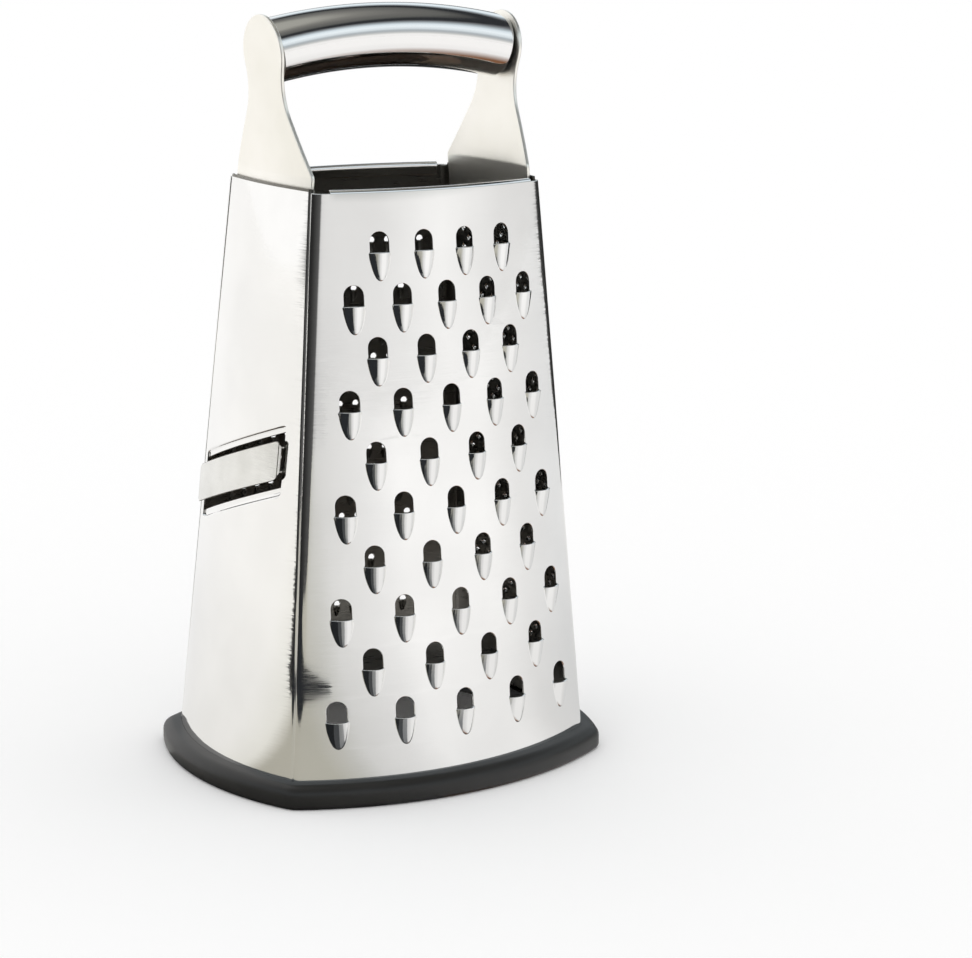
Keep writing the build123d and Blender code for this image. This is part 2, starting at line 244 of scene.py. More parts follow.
@dataclass(frozen=True)
class Rubber:
    """Moulded black rubber: a dark body with a dull sheen and a fine moulded grain."""

    name: str
    tint: str = "191816"
    shade: str = "242322"
    roughness: float = 0.42
    grain_mm: float = 0.35
    patch_mm: float = 1000 / 60
    bump: float = 0.25

    def material(self) -> bpy.types.Material:
        """Make the Blender material.

        Returns:
            A dark dielectric with noise in its colour, roughness and bump.
        """
        made, tree = empty_material(self.name)
        place = node(tree, "ShaderNodeTexCoord")
        grain = node(
            tree,
            "ShaderNodeTexNoise",
            {"Scale": 1 / (self.grain_mm * MM), "Detail": 2.0},
            {"Vector": place.outputs["Object"]},
        )
        patch = node(
            tree, "ShaderNodeTexNoise", {"Scale": 1 / (self.patch_mm * MM), "Detail": 3.0},
            {"Vector": place.outputs["Object"]},
        )
        colour = node(
            tree, "ShaderNodeValToRGB", {"stops": [(0.0, linear(self.tint)), (1.0, linear(self.shade))]},
            {"Fac": patch.outputs["Fac"]},
        )
        rough = node(
            tree,
            "ShaderNodeMapRange",
            {"To Min": self.roughness - 0.06, "To Max": self.roughness + 0.08},
            {"Value": patch.outputs["Fac"]},
        )
        bump = node(
            tree,
            "ShaderNodeBump",
            {"Strength": self.bump, "Distance": 0.05 * MM},
            {"Height": grain.outputs["Fac"]},
        )
        shader = node(
            tree,
            "ShaderNodeBsdfPrincipled",
            links={
                "Base Color": colour.outputs["Color"],
                "Roughness": rough.outputs["Result"],
                "Normal": bump.outputs["Normal"],
            },
        )
        node(tree, "ShaderNodeOutputMaterial", links={"Surface": shader.outputs["BSDF"]})
        return made


# Meshes from arrays


class Patchwork:
    """Surface patches in millimetres that become one mesh with welded edges."""

    def __init__(self) -> None:
        """Start with no patch."""
        self.points: list[np.ndarray] = []
        self.faces: list[np.ndarray] = []
        self.finishes: list[np.ndarray] = []
        self.count = 0

    def add(self, points: np.ndarray, faces: np.ndarray, finish: int = 0) -> None:
        """Add one patch.

        Args:
            points: array (n, 3).
            faces: array (m, 4) of rows into points.
            finish: which of the piece's finishes it takes.
        """
        self.points.append(points.reshape(-1, 3))
        self.faces.append(faces + self.count)
        self.finishes.append(np.full(len(faces), finish))
        self.count += len(self.points[-1])

    def add_grid(
        self, points: np.ndarray, wrap_rows: bool = False, wrap_columns: bool = False, finish: int = 0
    ) -> None:
        """Add a patch whose points lie on a grid.

        Args:
            points: array (rows, columns, 3).
            wrap_rows: whether the last row joins the first.
            wrap_columns: whether the last column joins the first.
            finish: which of the piece's finishes it takes.
        """
        rows, columns = points.shape[:2]
        index = np.arange(rows * columns).reshape(rows, columns)
        if wrap_rows:
            index = np.vstack([index, index[:1]])
        if wrap_columns:
            index = np.hstack([index, index[:, :1]])
        corners = (index[:-1, :-1], index[:-1, 1:], index[1:, 1:], index[1:, :-1])
        self.add(points, np.stack(corners, -1).reshape(-1, 4), finish)

    def welded(self) -> tuple[np.ndarray, np.ndarray, np.ndarray]:
        """Merge points that coincide and drop faces that vanish.

        Returns:
            The points (n, 3), the faces (m, 4) and each face's finish; a triangle
            repeats its last corner.
        """
        points = np.vstack(self.points)
        faces = np.vstack(self.faces)
        _, first, back = np.unique(
            np.round(points, WELD_DIGITS) + 0.0, axis=0, return_index=True, return_inverse=True
        )
        points, faces = points[first], back.reshape(-1)[faces]
        following = np.roll(faces, -1, axis=1)
        same = faces == following
        kept = same.sum(1) <= 1
        faces, same, finishes = faces[kept], same[kept], np.concatenate(self.finishes)[kept]
        short = same.any(1)
        turn = (np.argmax(same[short], 1)[:, None] + np.arange(1, 5)) % 4
        triangles = np.take_along_axis(faces[short], turn, 1)
        triangles[:, 3] = triangles[:, 2]
        faces[short] = triangles
        return points, faces, finishes


def outer_loop(grid: np.ndarray) -> np.ndarray:
    """A grid's outermost points: up the last column, back along the last row, down and along the first.

    Args:
        grid: array (rows, columns, k).

    Returns:
        Array (n, k).
    """
    return np.vstack([grid[:, -1], grid[-1, -2:0:-1], grid[::-1, 0], grid[0, 1:-1]])


def face_normals(points: np.ndarray, faces: np.ndarray) -> np.ndarray:
    """Normals of faces from the cross product of their diagonals, as long as twice their area.

    Args:
        points: array (n, 3).
        faces: array (m, 4).

    Returns:
        Array (m, 3).
    """
    corner = points[faces]
    return np.cross(corner[:, 2] - corner[:, 0], corner[:, 3] - corner[:, 1])


def point_normals(points: np.ndarray, faces: np.ndarray) -> np.ndarray:
    """Unit normals at points: each is the mean direction of the faces round it.

    Args:
        points: array (n, 3).
        faces: array (m, 4).

    Returns:
        Array (n, 3).
    """
    flat = face_normals(points, faces)
    flat = flat / np.maximum(np.linalg.norm(flat, axis=1, keepdims=True), TINY)
    total = np.zeros_like(points)
    for corner in range(4):
        np.add.at(total, faces[:, corner], flat)
    return total / np.maximum(np.linalg.norm(total, axis=1, keepdims=True), TINY)


def open_edges(faces: np.ndarray) -> np.ndarray:
    """The directed edges that only one face has.

    Args:
        faces: array (m, 4).

    Returns:
        Array (k, 2) of point rows, in their face's direction.
    """
    start, end = faces.reshape(-1), np.roll(faces, -1, axis=1).reshape(-1)
    real = start != end
    start, end = start[real], end[real]
    size = int(faces.max()) + 1
    forward, backward = start * size + end, end * size + start
    alone = ~np.isin(forward, backward)
    return np.stack([start[alone], end[alone]], 1)


def thicken(
    points: np.ndarray, faces: np.ndarray, thickness: float, edge_radius: float
) -> tuple[np.ndarray, np.ndarray, np.ndarray, np.ndarray]:
    """Give a surface a thickness behind it, with a rounded rim along every open edge.

    The rim leaves the face along a quarter circle, runs straight down the
    thickness and meets the back along a second quarter circle. It stands off
    the edge in the direction edge x normal.

    Args:
        points: array (n, 3) of the outer face.
        faces: array (m, 4), pointing outwards.
        thickness: how far the inner face lies behind the outer one.
        edge_radius: radius of the rim's rounding; 0 leaves it square.

    Returns:
        Points and faces of the closed shell, the part that each face belongs to
        (0 the face, 1 the back, 2 the rim), and the normals at the points.
    """
    count = len(points)
    normals = point_normals(points, faces)
    edges = open_edges(faces)
    start, end = edges[:, 0], edges[:, 1]
    run = points[end] - points[start]
    out = np.zeros_like(points)
    for corner in (start, end):
        np.add.at(out, corner, np.cross(run, normals[corner]))
    out = out / np.maximum(np.linalg.norm(out, axis=1, keepdims=True), TINY)
    rim = np.unique(edges)
    row = np.full(count, -1)
    row[rim] = np.arange(len(rim))
    steps = 4 if edge_radius else 0
    stand = (np.array([DIAGONAL, 1.0, 1.0, DIAGONAL]) * edge_radius)[:steps]
    first = DIAGONAL_GAP * edge_radius
    depth = np.array([first, edge_radius, thickness - edge_radius, thickness - first])[:steps]
    middle = (
        points[rim][None]
        + out[rim][None] * stand[:, None, None]
        - normals[rim][None] * depth[:, None, None]
    )
    places = [2 * count + layer * len(rim) + row for layer in range(steps)]
    layers = [np.arange(count), *places, np.arange(count) + count]
    bands = [
        np.stack([upper[end], upper[start], lower[start], lower[end]], 1)
        for upper, lower in zip(layers, layers[1:])
    ]
    back = faces[:, ::-1] + count
    triangles = faces[:, 2] == faces[:, 3]
    back[triangles] = faces[triangles][:, [2, 1, 0, 0]] + count
    shell = np.vstack([points, points - normals * thickness, middle.reshape(-1, 3)])
    part = np.repeat([0, 1, 2], [len(faces), len(faces), len(bands) * len(edges)])
    turn_out = np.array([DIAGONAL, 1.0, 1.0, DIAGONAL])[:steps, None, None]
    turn_up = np.array([DIAGONAL, 0.0, 0.0, -DIAGONAL])[:steps, None, None]
    rounded = out[rim][None] * turn_out + normals[rim][None] * turn_up
    facing = np.vstack([normals, -normals, rounded.reshape(-1, 3)])
    return shell, np.vstack([faces, back, *bands]), part, facing


def make_piece(
    name: str,
    points: np.ndarray,
    faces: np.ndarray,
    finishes: list[bpy.types.Material],
    order: np.ndarray | None = None,
    facing: np.ndarray | None = None,
    crease: float = 0.0,
) -> bpy.types.Object:
    """Make a Blender object from arrays.

    Args:
        name: the piece's name.
        points: array (n, 3) in millimetres.
        faces: array (m, 4); a triangle repeats its last corner.
        finishes: its materials.
        order: each face's place in finishes, where there is more than one.
        facing: normals at the points, so that a rim doesn't shade the sheet beside it.
        crease: angle in degrees above which an edge shades sharply, or 0 for none.

    Returns:
        The new object, linked to the scene.
    """
    mesh = bpy.data.meshes.new(name)
    triangles = faces[:, 2] == faces[:, 3]
    rows = [*faces[~triangles].tolist(), *faces[triangles][:, :3].tolist()]
    mesh.from_pydata((points * MM).tolist(), [], rows)
    mesh.polygons.foreach_set("use_smooth", np.ones(len(mesh.polygons), bool))
    for finish in finishes:
        mesh.materials.append(finish)
    if order is not None:
        mesh.polygons.foreach_set(
            "material_index", np.concatenate([order[~triangles], order[triangles]]).astype(np.int32)
        )
    if crease:
        mesh.set_sharp_from_angle(angle=math.radians(crease))
    mesh.update()
    mesh.validate()
    if facing is not None:
        unit = facing / np.maximum(np.linalg.norm(facing, axis=1, keepdims=True), 1e-9)
        mesh.normals_split_custom_set_from_vertices(unit.tolist())
    made = bpy.data.objects.new(name, mesh)
    bpy.context.scene.collection.objects.link(made)
    return made


def dress(piece: bpy.types.Object, node_name: str) -> None:
    """Put a piece in a CAD node's place, on the grater's one body.

    Args:
        piece: the new piece.
        node_name: the CAD node that it stands for.
    """
    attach(piece, "root")
    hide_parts(node_name)
    log.info("%s: %d faces", piece.name, len(piece.data.polygons))


# The body's form


@dataclass(frozen=True)
class Body:
    """The tapering outline that all four walls follow.

    At each height it is four arcs joined by rounded corners. A place on it is
    given by its heading, the direction of the outward normal in plan, counted
    from the middle of a wall.
    """

    rim_height: float = 195.4
    foot_height: float = 2.0
    table_width: float = 113.6
    rim_width: float = 85.0
    table_depth: float = 80.4
    rim_depth: float = 56.5
    table_front_bow: float = 14.7
    rim_front_bow: float = 6.6
    table_side_bow: float = 9.6
    rim_side_bow: float = 2.3
    corner_radius: float = 3.5
    sheet: float = 0.6
    table_wrap: float = 1.2
    rim_wrap: float = 2.4
    seam_gap: float = 0.15
    lap_gap: float = 0.1
    lap: float = 2.6
    step_length: float = 1.0

    def sizes(self, side: Side, z: np.ndarray) -> tuple[np.ndarray, ...]:
        """Chord and bow of a wall and of its neighbours.

        Args:
            side: the wall.
            z: heights.

        Returns:
            The wall's chord and bow, then the neighbours' chord and bow.
        """
        share = z / self.rim_height
        width = self.table_width + (self.rim_width - self.table_width) * share
        depth = self.table_depth + (self.rim_depth - self.table_depth) * share
        front = self.table_front_bow + (self.rim_front_bow - self.table_front_bow) * share
        aside = self.table_side_bow + (self.rim_side_bow - self.table_side_bow) * share
        if side in (Side.FRONT, Side.REAR):
            return width, front, depth, aside
        return depth, aside, width, front

    def wrap(self, z: np.ndarray) -> np.ndarray:
        """How far from the neighbour's end the front and rear sheets reach round their corners."""
        return self.table_wrap + (self.rim_wrap - self.table_wrap) * z / self.rim_height

    def arcs(self, side: Side, z: np.ndarray) -> dict[str, np.ndarray]:
        """The wall's arc, its corner and its neighbour's arc, with the wall facing -Y.

        The corner's centre lies a corner radius inside both arcs, where two
        circles about the arcs' centres cross.

        Args:
            side: the wall.
            z: heights.

        Returns:
            Radii, centres and the headings where one arc gives way to the next.
        """
        chord, bow, next_chord, next_bow = self.sizes(side, z)
        radius = ((chord / 2) ** 2 + bow**2) / (2 * bow)
        next_radius = ((next_chord / 2) ** 2 + next_bow**2) / (2 * next_bow)
        centre_y = radius - next_chord / 2 - bow
        next_x = chord / 2 + next_bow - next_radius
        near, far = radius - self.corner_radius, next_radius - self.corner_radius
        gap = np.hypot(next_x, centre_y)
        along = (near**2 - far**2 + gap**2) / (2 * gap)
        aside = np.sqrt(near**2 - along**2)
        step_x, step_y = next_x / gap, -centre_y / gap
        corner_x = step_x * along - step_y * aside
        corner_y = centre_y + step_y * along + step_x * aside
        return {
            "chord": chord,
            "next_chord": next_chord,
            "radius": radius,
            "centre_y": centre_y,
            "next_radius": next_radius,
            "next_x": next_x,
            "corner_x": corner_x,
            "corner_y": corner_y,
            "corner_start": np.arctan2(corner_x, centre_y - corner_y),
            "corner_end": np.arctan2(corner_x - next_x, -corner_y),
        }

    def place(self, side: Side, heading: np.ndarray, z: np.ndarray, inset: np.ndarray | float = 0.0) -> np.ndarray:
        """Points on the outline moved in by an inset, turned to where the wall stands.

        A point is its arc's centre plus the arc's radius, less the inset,
        times (sin, -cos) of the heading.

        Args:
            side: the wall.
            heading: outward direction, from the wall's middle, in radians.
            z: heights.
            inset: distance inwards.

        Returns:
            Array (..., 3).
        """
        heading, z, inset = np.broadcast_arrays(heading, z, inset)
        arc = self.arcs(side, z)
        size, sign = np.abs(heading), np.where(heading < 0, -1.0, 1.0)
        on_next = size > arc["corner_end"]
        on_corner = (size > arc["corner_start"]) & ~on_next
        centre_x = np.where(on_next, arc["next_x"], np.where(on_corner, arc["corner_x"], 0.0))
        centre_y = np.where(on_next, 0.0, np.where(on_corner, arc["corner_y"], arc["centre_y"]))
        radius = np.where(
            on_next, arc["next_radius"], np.where(on_corner, self.corner_radius, arc["radius"])
        )
        x = sign * (centre_x + (radius - inset) * np.sin(size))
        y = centre_y - (radius - inset) * np.cos(size)
        return turned(np.stack([x, y, z + 0.0], -1), side)

    def outward(self, side: Side, heading: np.ndarray, z: np.ndarray) -> np.ndarray:
        """Unit normals of the outer face: the heading, tilted up by the wall's lean.

        Args:
            side: the wall.
            heading: outward direction in plan.
            z: heights.

        Returns:
            Array (..., 3).
        """
        heading, z = np.broadcast_arrays(heading, z)
        plan = turned(np.stack([np.sin(heading), -np.cos(heading), 0.0 * z], -1), side)
        rise = self.place(side, heading, z + 0.5) - self.place(side, heading, z - 0.5)
        plan[..., 2] = -(rise * plan).sum(-1)
        return plan / np.linalg.norm(plan, axis=-1, keepdims=True)

    def heading(self, side: Side, across: np.ndarray, z: np.ndarray) -> np.ndarray:
        """Heading of a place on the wall's own arc.

        Args:
            side: the wall.
            across: distance from the wall's middle line.
            z: heights.

        Returns:
            Headings in radians.
        """
        return np.arcsin(across / self.arcs(side, z)["radius"])

    def raised(self, side: Side, across: np.ndarray, z: np.ndarray, height: np.ndarray) -> np.ndarray:
        """Points at a height off the wall's outer face.

        Args:
            side: the wall.
            across: distance from the wall's middle line.
            z: heights up the wall.
            height: distance outwards along the normal.

        Returns:
            Array (..., 3).
        """
        heading = self.heading(side, across, z)
        return self.place(side, heading, z) + self.outward(side, heading, z) * height[..., None]


def turned(points: np.ndarray, side: Side) -> np.ndarray:
    """Turn points from a wall that faces -Y to where that wall stands.

    Args:
        points: array (..., 3).
        side: the wall.

    Returns:
        Array (..., 3).
    """
    sine, cosine = {0: (0, 1), 90: (1, 0), 180: (0, -1), 270: (-1, 0)}[side.value]
    x, y = points[..., 0], points[..., 1]
    return np.stack([x * cosine - y * sine, x * sine + y * cosine, points[..., 2]], -1)


BODY = Body()


# Toothed and punched walls


@dataclass(frozen=True)
class Rows:
    """Staggered rows: one fewer than the full count, then the full count, in turn."""

    side: Side
    rows: int
    columns: int
    pitch: float
    top_space: float
    side_space_low: float
    side_space_high: float
    above: float
    half_cell: int
    cell_rows: int
    reach: float = 1.15

    def half_span(self, z: np.ndarray) -> np.ndarray:
        """Distance from the middle line to an outermost tooth at height z."""
        chord = BODY.sizes(self.side, z)[0]
        space = self.side_space_low + (self.side_space_high - self.side_space_low) * z / BODY.rim_height
        return chord / 2 - space

    def stations(self) -> np.ndarray:
        """Shares of the half span that carry a column of points, each half cell evenly divided."""
        cells = 2 * (self.columns - 1)
        inner = np.linspace(-1, 1, cells * self.half_cell + 1)
        outer = np.linspace(1, self.reach, self.half_cell + 1)[1:]
        return np.concatenate([-outer[::-1], inner, outer])

    def row_heights(self) -> np.ndarray:
        """Heights of the rows' lips, from the top row down."""
        return BODY.rim_height - self.top_space - np.arange(self.rows) * self.pitch

    def levels(self) -> np.ndarray:
        """Heights that carry a row of points, from the lowest cell's foot to the highest cell's top."""
        low = self.row_heights()[-1] + self.above - self.pitch
        return low + np.arange(self.rows * self.cell_rows + 1) * self.pitch / self.cell_rows


@dataclass(frozen=True)
class ToothShape:
    """A pressed tooth, in its own plane: X across, Y up from the lip, height outwards.

    fullness is how much of its width the scoop loses by its tip, and taper the
    power by which it loses it. opening_round is how far the opening's sides
    follow its arch's circle below the circle's middle.
    """

    lip_width: float
    lip_rise: float
    scoop_length: float
    opening_width: float
    opening_height: float
    tip_rise: float
    fullness: float = 0.63
    taper: float = 1.75
    bluntness: float = 12.0
    opening_round: float = 0.0
    tip_start: float = 0.86
    scoop_columns: int = 12
    rings: tuple[float, ...] = (0.0, 0.03, 0.12, 0.5, 1.0)

    def half_width(self, share: np.ndarray) -> np.ndarray:
        """Half width of the scoop at a share of its length: a power curve with a rounded end."""
        body = 1 - self.fullness * share**self.taper
        end = np.sqrt(np.maximum(1 - share**self.bluntness, 0))
        return self.lip_width / 2 * body * end

    def rise(self, share: np.ndarray) -> np.ndarray:
        """Height of the scoop's ridge: a straight fall from the lip's rise to the tip's, then closed."""
        body = self.tip_rise + (self.lip_rise - self.tip_rise) * (1 - share)
        return body * np.sqrt(np.maximum(1 - share ** (2 * self.bluntness), 0))

    def outline(self, half_cell: int, cell_rows: int) -> tuple[np.ndarray, np.ndarray]:
        """The closed line between tooth and sheet, in step with a cell's border.

        From the bottom right it runs up the right side, over the arch, down the
        left side and round the tip.

        Args:
            half_cell: steps across half a cell.
            cell_rows: steps up a cell.

        Returns:
            The line's points (k, 2) and the scoop's shares of length, from lip to tip.
        """
        lower = cell_rows // 2
        upper = cell_rows - lower - 1
        side = np.linspace(0, self.tip_start, lower + 1)
        tip = 1 - (1 - self.tip_start) * (1 - np.linspace(0, 1, half_cell + 1)) ** 2
        radius = self.opening_width / 2
        straight = self.opening_height - radius
        scoop = np.stack([self.half_width(side), -side * self.scoop_length], -1)[::-1]
        level = np.linspace(0, straight, upper + 1)
        drop = self.opening_round * (straight - level)
        wall = np.stack([np.sqrt(np.maximum(radius**2 - drop**2, 0)), level], -1)
        right = np.vstack([scoop, wall])
        angle = np.linspace(0, np.pi, 2 * half_cell + 1)[1:-1]
        arch = np.stack([radius * np.cos(angle), straight + radius * np.sin(angle)], -1)
        mirror = np.array([-1, 1])
        end = np.stack([self.half_width(tip), -tip * self.scoop_length], -1)[1:]
        line = np.vstack([right, arch, right[::-1] * mirror, end * mirror, end[:-1][::-1]])
        return line, np.concatenate([side, tip[1:]])

    def scoop(self, shares: np.ndarray) -> np.ndarray:
        """The scoop's skin: at each share of its length a circular arc from side to side.

        The arc's radius is (w^2 + h^2) / 2h for half width w and height h.

        Args:
            shares: shares of the length, from lip to tip.

        Returns:
            Array (shares, columns, 3) of X, Y and height.
        """
        width = self.half_width(shares)[:, None]
        rise = np.maximum(self.rise(shares), 1e-6)[:, None]
        across = width * np.sin(np.linspace(-1, 1, self.scoop_columns + 1) * QUARTER)[None]
        radius = (width**2 + rise**2) / (2 * rise)
        arc = np.sqrt(np.maximum(radius**2 - across**2, 0)) - (radius - rise)
        along = -shares[:, None] * self.scoop_length + 0 * across
        return np.stack([across, along, arc], -1)


@dataclass(frozen=True)
class PunchShape:
    """A star punch: a square burst whose four petals stand up to points round a small hole."""

    width: float = 2.15
    hole_width: float = 1.4
    rise: float = 0.75
    notch: float = 0.5
    hole_points: float = 0.35
    petal_power: float = 1.15
    rings: tuple[float, ...] = (0.0, 1.0)


@dataclass(frozen=True)
class Window:
    """The slicer's place and sizes, X along it and Y up across it; its slots tilt and its ends stay upright."""

    height: float = 100.95
    shift: float = -2.45
    tilt: float = 19.0
    length: float = 54.5
    blade: float = 11.7
    upper_slot: float = 2.7
    lower_slot: float = 2.7
    upper_lip: float = 2.0
    lower_lip: float = 2.45
    lip_drop: float = 0.55
    lip_step: float = 0.2
    lift: float = 2.1
    leg: float = 0.4
    corner: float = 2.0
    slit: float = 0.15
    cell_half_height: float = 25.0
    lip_pinch: float = 0.4
    pinch_power: int = 60
    rings: tuple[float, ...] = (0.0, 0.03, 0.2, 0.5, 1.0)

    def columns(self) -> np.ndarray:
        """Places along the window that carry a column of points, closer together at its ends."""
        end = np.array([0, 0.08, self.slit, 0.27, self.leg, 0.7, 1.0, 1.35, 1.75, 2.2, 2.8, 3.6])
        middle = np.linspace(3.6, self.length - 3.6, 20)[1:-1]
        return np.concatenate([end, middle, self.length - end[::-1]]) - self.length / 2

    def rows(self) -> np.ndarray:
        """Rows of points up the window: 1 is the blade's edge, 2 a slot's far edge and 3 a lip's crease."""
        lip = np.array([2.0, 2.45, 3 - self.lip_step, 3 - self.lip_step / 2, 3.0])
        blade = np.array([-1.0, -0.92, -0.5, 0.0, 0.5, 0.92, 1.0])
        return np.concatenate([-lip[::-1], blade, lip])


@dataclass
class Wall:
    """One wall: a bowed sheet with its rows of teeth or punches, its edges and its top."""

    name: str
    rows: Rows
    shape: ToothShape | PunchShape | None
    finishes: list[bpy.types.Material]
    hem_radius: float = 1.2
    hem_leg: float = 3.0
    hem_share: float = 0.64
    top_steps: int = 3
    foot_steps: int = 3
    edge_radius: float = 0.2
    # Width of the side walls' top band, which takes INSIDE, the dark tint painted as the shadow of the gap under the
    # plates.
    painted_shade_band: float = 0.7
    own_columns: int = 4
    step_columns: int = 5
    lap_columns: int = 5
    window: Window = field(default_factory=Window)

    @property
    def lapped(self) -> bool:
        """Whether this is a side sheet, whose edges step in behind the corners."""
        return self.rows.side in (Side.RIGHT, Side.LEFT)

    @property
    def top(self) -> float:
        """Height where the flat of the sheet ends."""
        return BODY.rim_height if self.lapped else BODY.rim_height - self.hem_radius

    def at(self, across: np.ndarray, z: np.ndarray, height: np.ndarray | float = 0.0) -> np.ndarray:
        """Points off this wall's outer face; see Body.raised."""
        across, z, height = np.broadcast_arrays(across, z, height)
        return BODY.raised(self.rows.side, across, z, height)

    def cells(self) -> list[tuple[float, float, np.ndarray]]:
        """Every tooth's place and its cell.

        Returns:
            For each tooth its distance across, its height and its cell's stations.
        """
        rows = self.rows
        half = 1 / (rows.columns - 1)
        found = []
        for row, z in enumerate(rows.row_heights()):
            count = rows.columns - 1 + row % 2
            for column in range(count):
                middle = (2 * column - count + 1) * half
                ends = [middle - half, middle, middle + half]
                ends[0] = -rows.reach if middle < half / 2 - 1 else ends[0]
                ends[2] = rows.reach if middle > 1 - half / 2 else ends[2]
                left = np.linspace(ends[0], ends[1], rows.half_cell + 1)
                right = np.linspace(ends[1], ends[2], rows.half_cell + 1)
                found.append((middle * float(rows.half_span(z)), float(z), np.concatenate([left, right[1:]])))
        return found

    def border(self, stations: np.ndarray, z: float) -> np.ndarray:
        """A cell's border in step with a tooth's outline.

        Args:
            stations: the cell's stations from left to right.
            z: the height of the tooth's lip.

        Returns:
            Array (k, 2) of distance across and height.
        """
        rows = self.rows
        levels = z + rows.above - rows.pitch + np.arange(rows.cell_rows + 1) * rows.pitch / rows.cell_rows
        across = stations[None] * rows.half_span(levels)[:, None]
        heights = levels[:, None] + 0 * across
        return outer_loop(np.stack([across, heights], -1))

    def add_ring(
        self, patches: Patchwork, line: np.ndarray, border: np.ndarray, rings: tuple[float, ...]
    ) -> None:
        """The sheet between an outline and its cell's border, in rings that run from one to the other.

        Args:
            patches: takes the patch.
            line: the outline (k, 2) in distance across and height.
            border: the border (k, 2).
            rings: shares of the way from outline to border.
        """
        share = np.array(rings)[::-1, None, None]
        flat = line[None] * (1 - share) + border[None] * share
        patches.add_grid(self.at(flat[..., 0], flat[..., 1]), wrap_columns=True)

    def add_tooth(self, patches: Patchwork, across: float, z: float, stations: np.ndarray) -> None:
        """One tooth: its scoop and the sheet round it."""
        line, shares = self.shape.outline(self.rows.half_cell, self.rows.cell_rows)
        self.add_ring(patches, line + np.array([across, z]), self.border(stations, z), self.shape.rings)
        skin = self.shape.scoop(shares)
        patches.add_grid(self.at(across + skin[..., 0], z + skin[..., 1], skin[..., 2])[::-1])

    def add_punch(self, patches: Patchwork, across: float, z: float, stations: np.ndarray) -> None:
        """One star punch: a diamond base, |x| + |y| = half its diagonal, with petals up to the hole."""
        shape = self.shape
        border = self.border(stations, z)
        away = border - np.array([across, z + self.rows.above - self.rows.pitch / 2])
        away = away / np.abs(away).max(0)
        angle = np.arctan2(away[:, 1], away[:, 0])
        petal = np.abs(np.sin(2 * angle))
        unit = np.stack([np.cos(angle), np.sin(angle)], -1)
        diamond = unit / np.abs(unit).sum(1, keepdims=True) * shape.width / math.sqrt(2)
        hole = unit * (shape.hole_width / 2 * (1 + shape.hole_points * (1 - petal)))[:, None]
        self.add_ring(patches, diamond + np.array([across, z]), border, shape.rings)
        point = shape.rise * (1 - shape.notch * (1 - petal))
        share = np.linspace(0, 1, 3)[:, None]
        ring = hole[None] * share[..., None] + diamond[None] * (1 - share[..., None])
        height = point[None] * share**shape.petal_power
        patches.add_grid(self.at(across + ring[..., 0], z + ring[..., 1], height), wrap_columns=True, finish=Skin.PETAL)

    def add_window(self, patches: Patchwork) -> None:
        """The slicer: a raised bridge, two slots, a stepped-in lip along each and a slit at each end.

        The bridge's corners are quarter circles, and a narrow tab beside each
        slit holds it.
        """
        window, rows = self.window, self.rows
        half = window.length / 2
        u, v_share = window.columns(), window.rows()
        u_grid = np.broadcast_to(u, (len(v_share), len(u)))
        narrow = 1 - window.lip_pinch * (np.abs(u_grid) / half) ** window.pinch_power
        high, low = window.blade / 2, -window.blade / 2
        above = high + window.upper_slot + window.upper_lip * narrow * (v_share[:, None] - 2)
        below = low - window.lower_slot + window.lower_lip * narrow * (v_share[:, None] + 2)
        corner = np.clip((np.abs(u_grid) - half + window.slit + window.corner) / window.corner, 0, 1)
        edge = high - window.corner * (1 - np.sqrt(1 - corner**2))
        v_grid = np.where(v_share[:, None] <= -2, below, edge * v_share[:, None])
        v_grid = np.where(v_share[:, None] >= 2, above, v_grid)
        inside = np.clip((half - np.abs(u_grid)) / window.leg, 0, 1)
        ease = np.sin(inside * QUARTER)
        lip = np.clip((3 - np.abs(v_share[:, None])) / window.lip_step, 0, 1) * inside
        blade = np.abs(v_share[:, None]) <= 1
        height = np.where(blade, window.lift * ease, -window.lip_drop * np.sin(lip * QUARTER))
        tilt = math.radians(window.tilt)
        across = window.shift + u_grid * math.cos(tilt)
        z = window.height + u_grid * math.sin(tilt) + v_grid / math.cos(tilt)
        points = self.at(across, z, height)
        first, last = int(np.argmax(v_share >= -1)), int(np.argmax(v_share >= 2))
        for part in (points[:first], points[last:]):
            patches.add_grid(part)
        start = int(np.argmin(np.abs(u - half + window.slit)))
        bridge = points[first:last]
        for part in (bridge[:2], bridge[-2:], bridge[1:-1, len(u) - 1 - start : start + 1]):
            patches.add_grid(part, finish=Skin.BLADE)
        levels = window.height + np.linspace(-1, 1, len(v_share)) * window.cell_half_height
        edge_across = np.linspace(-1, 1, len(u))[None] * rows.half_span(levels)[:, None] * rows.reach
        line = outer_loop(np.stack([across, z], -1))
        border = outer_loop(np.stack([edge_across, levels[:, None] + 0 * edge_across], -1))
        self.add_ring(patches, line, border, window.rings)

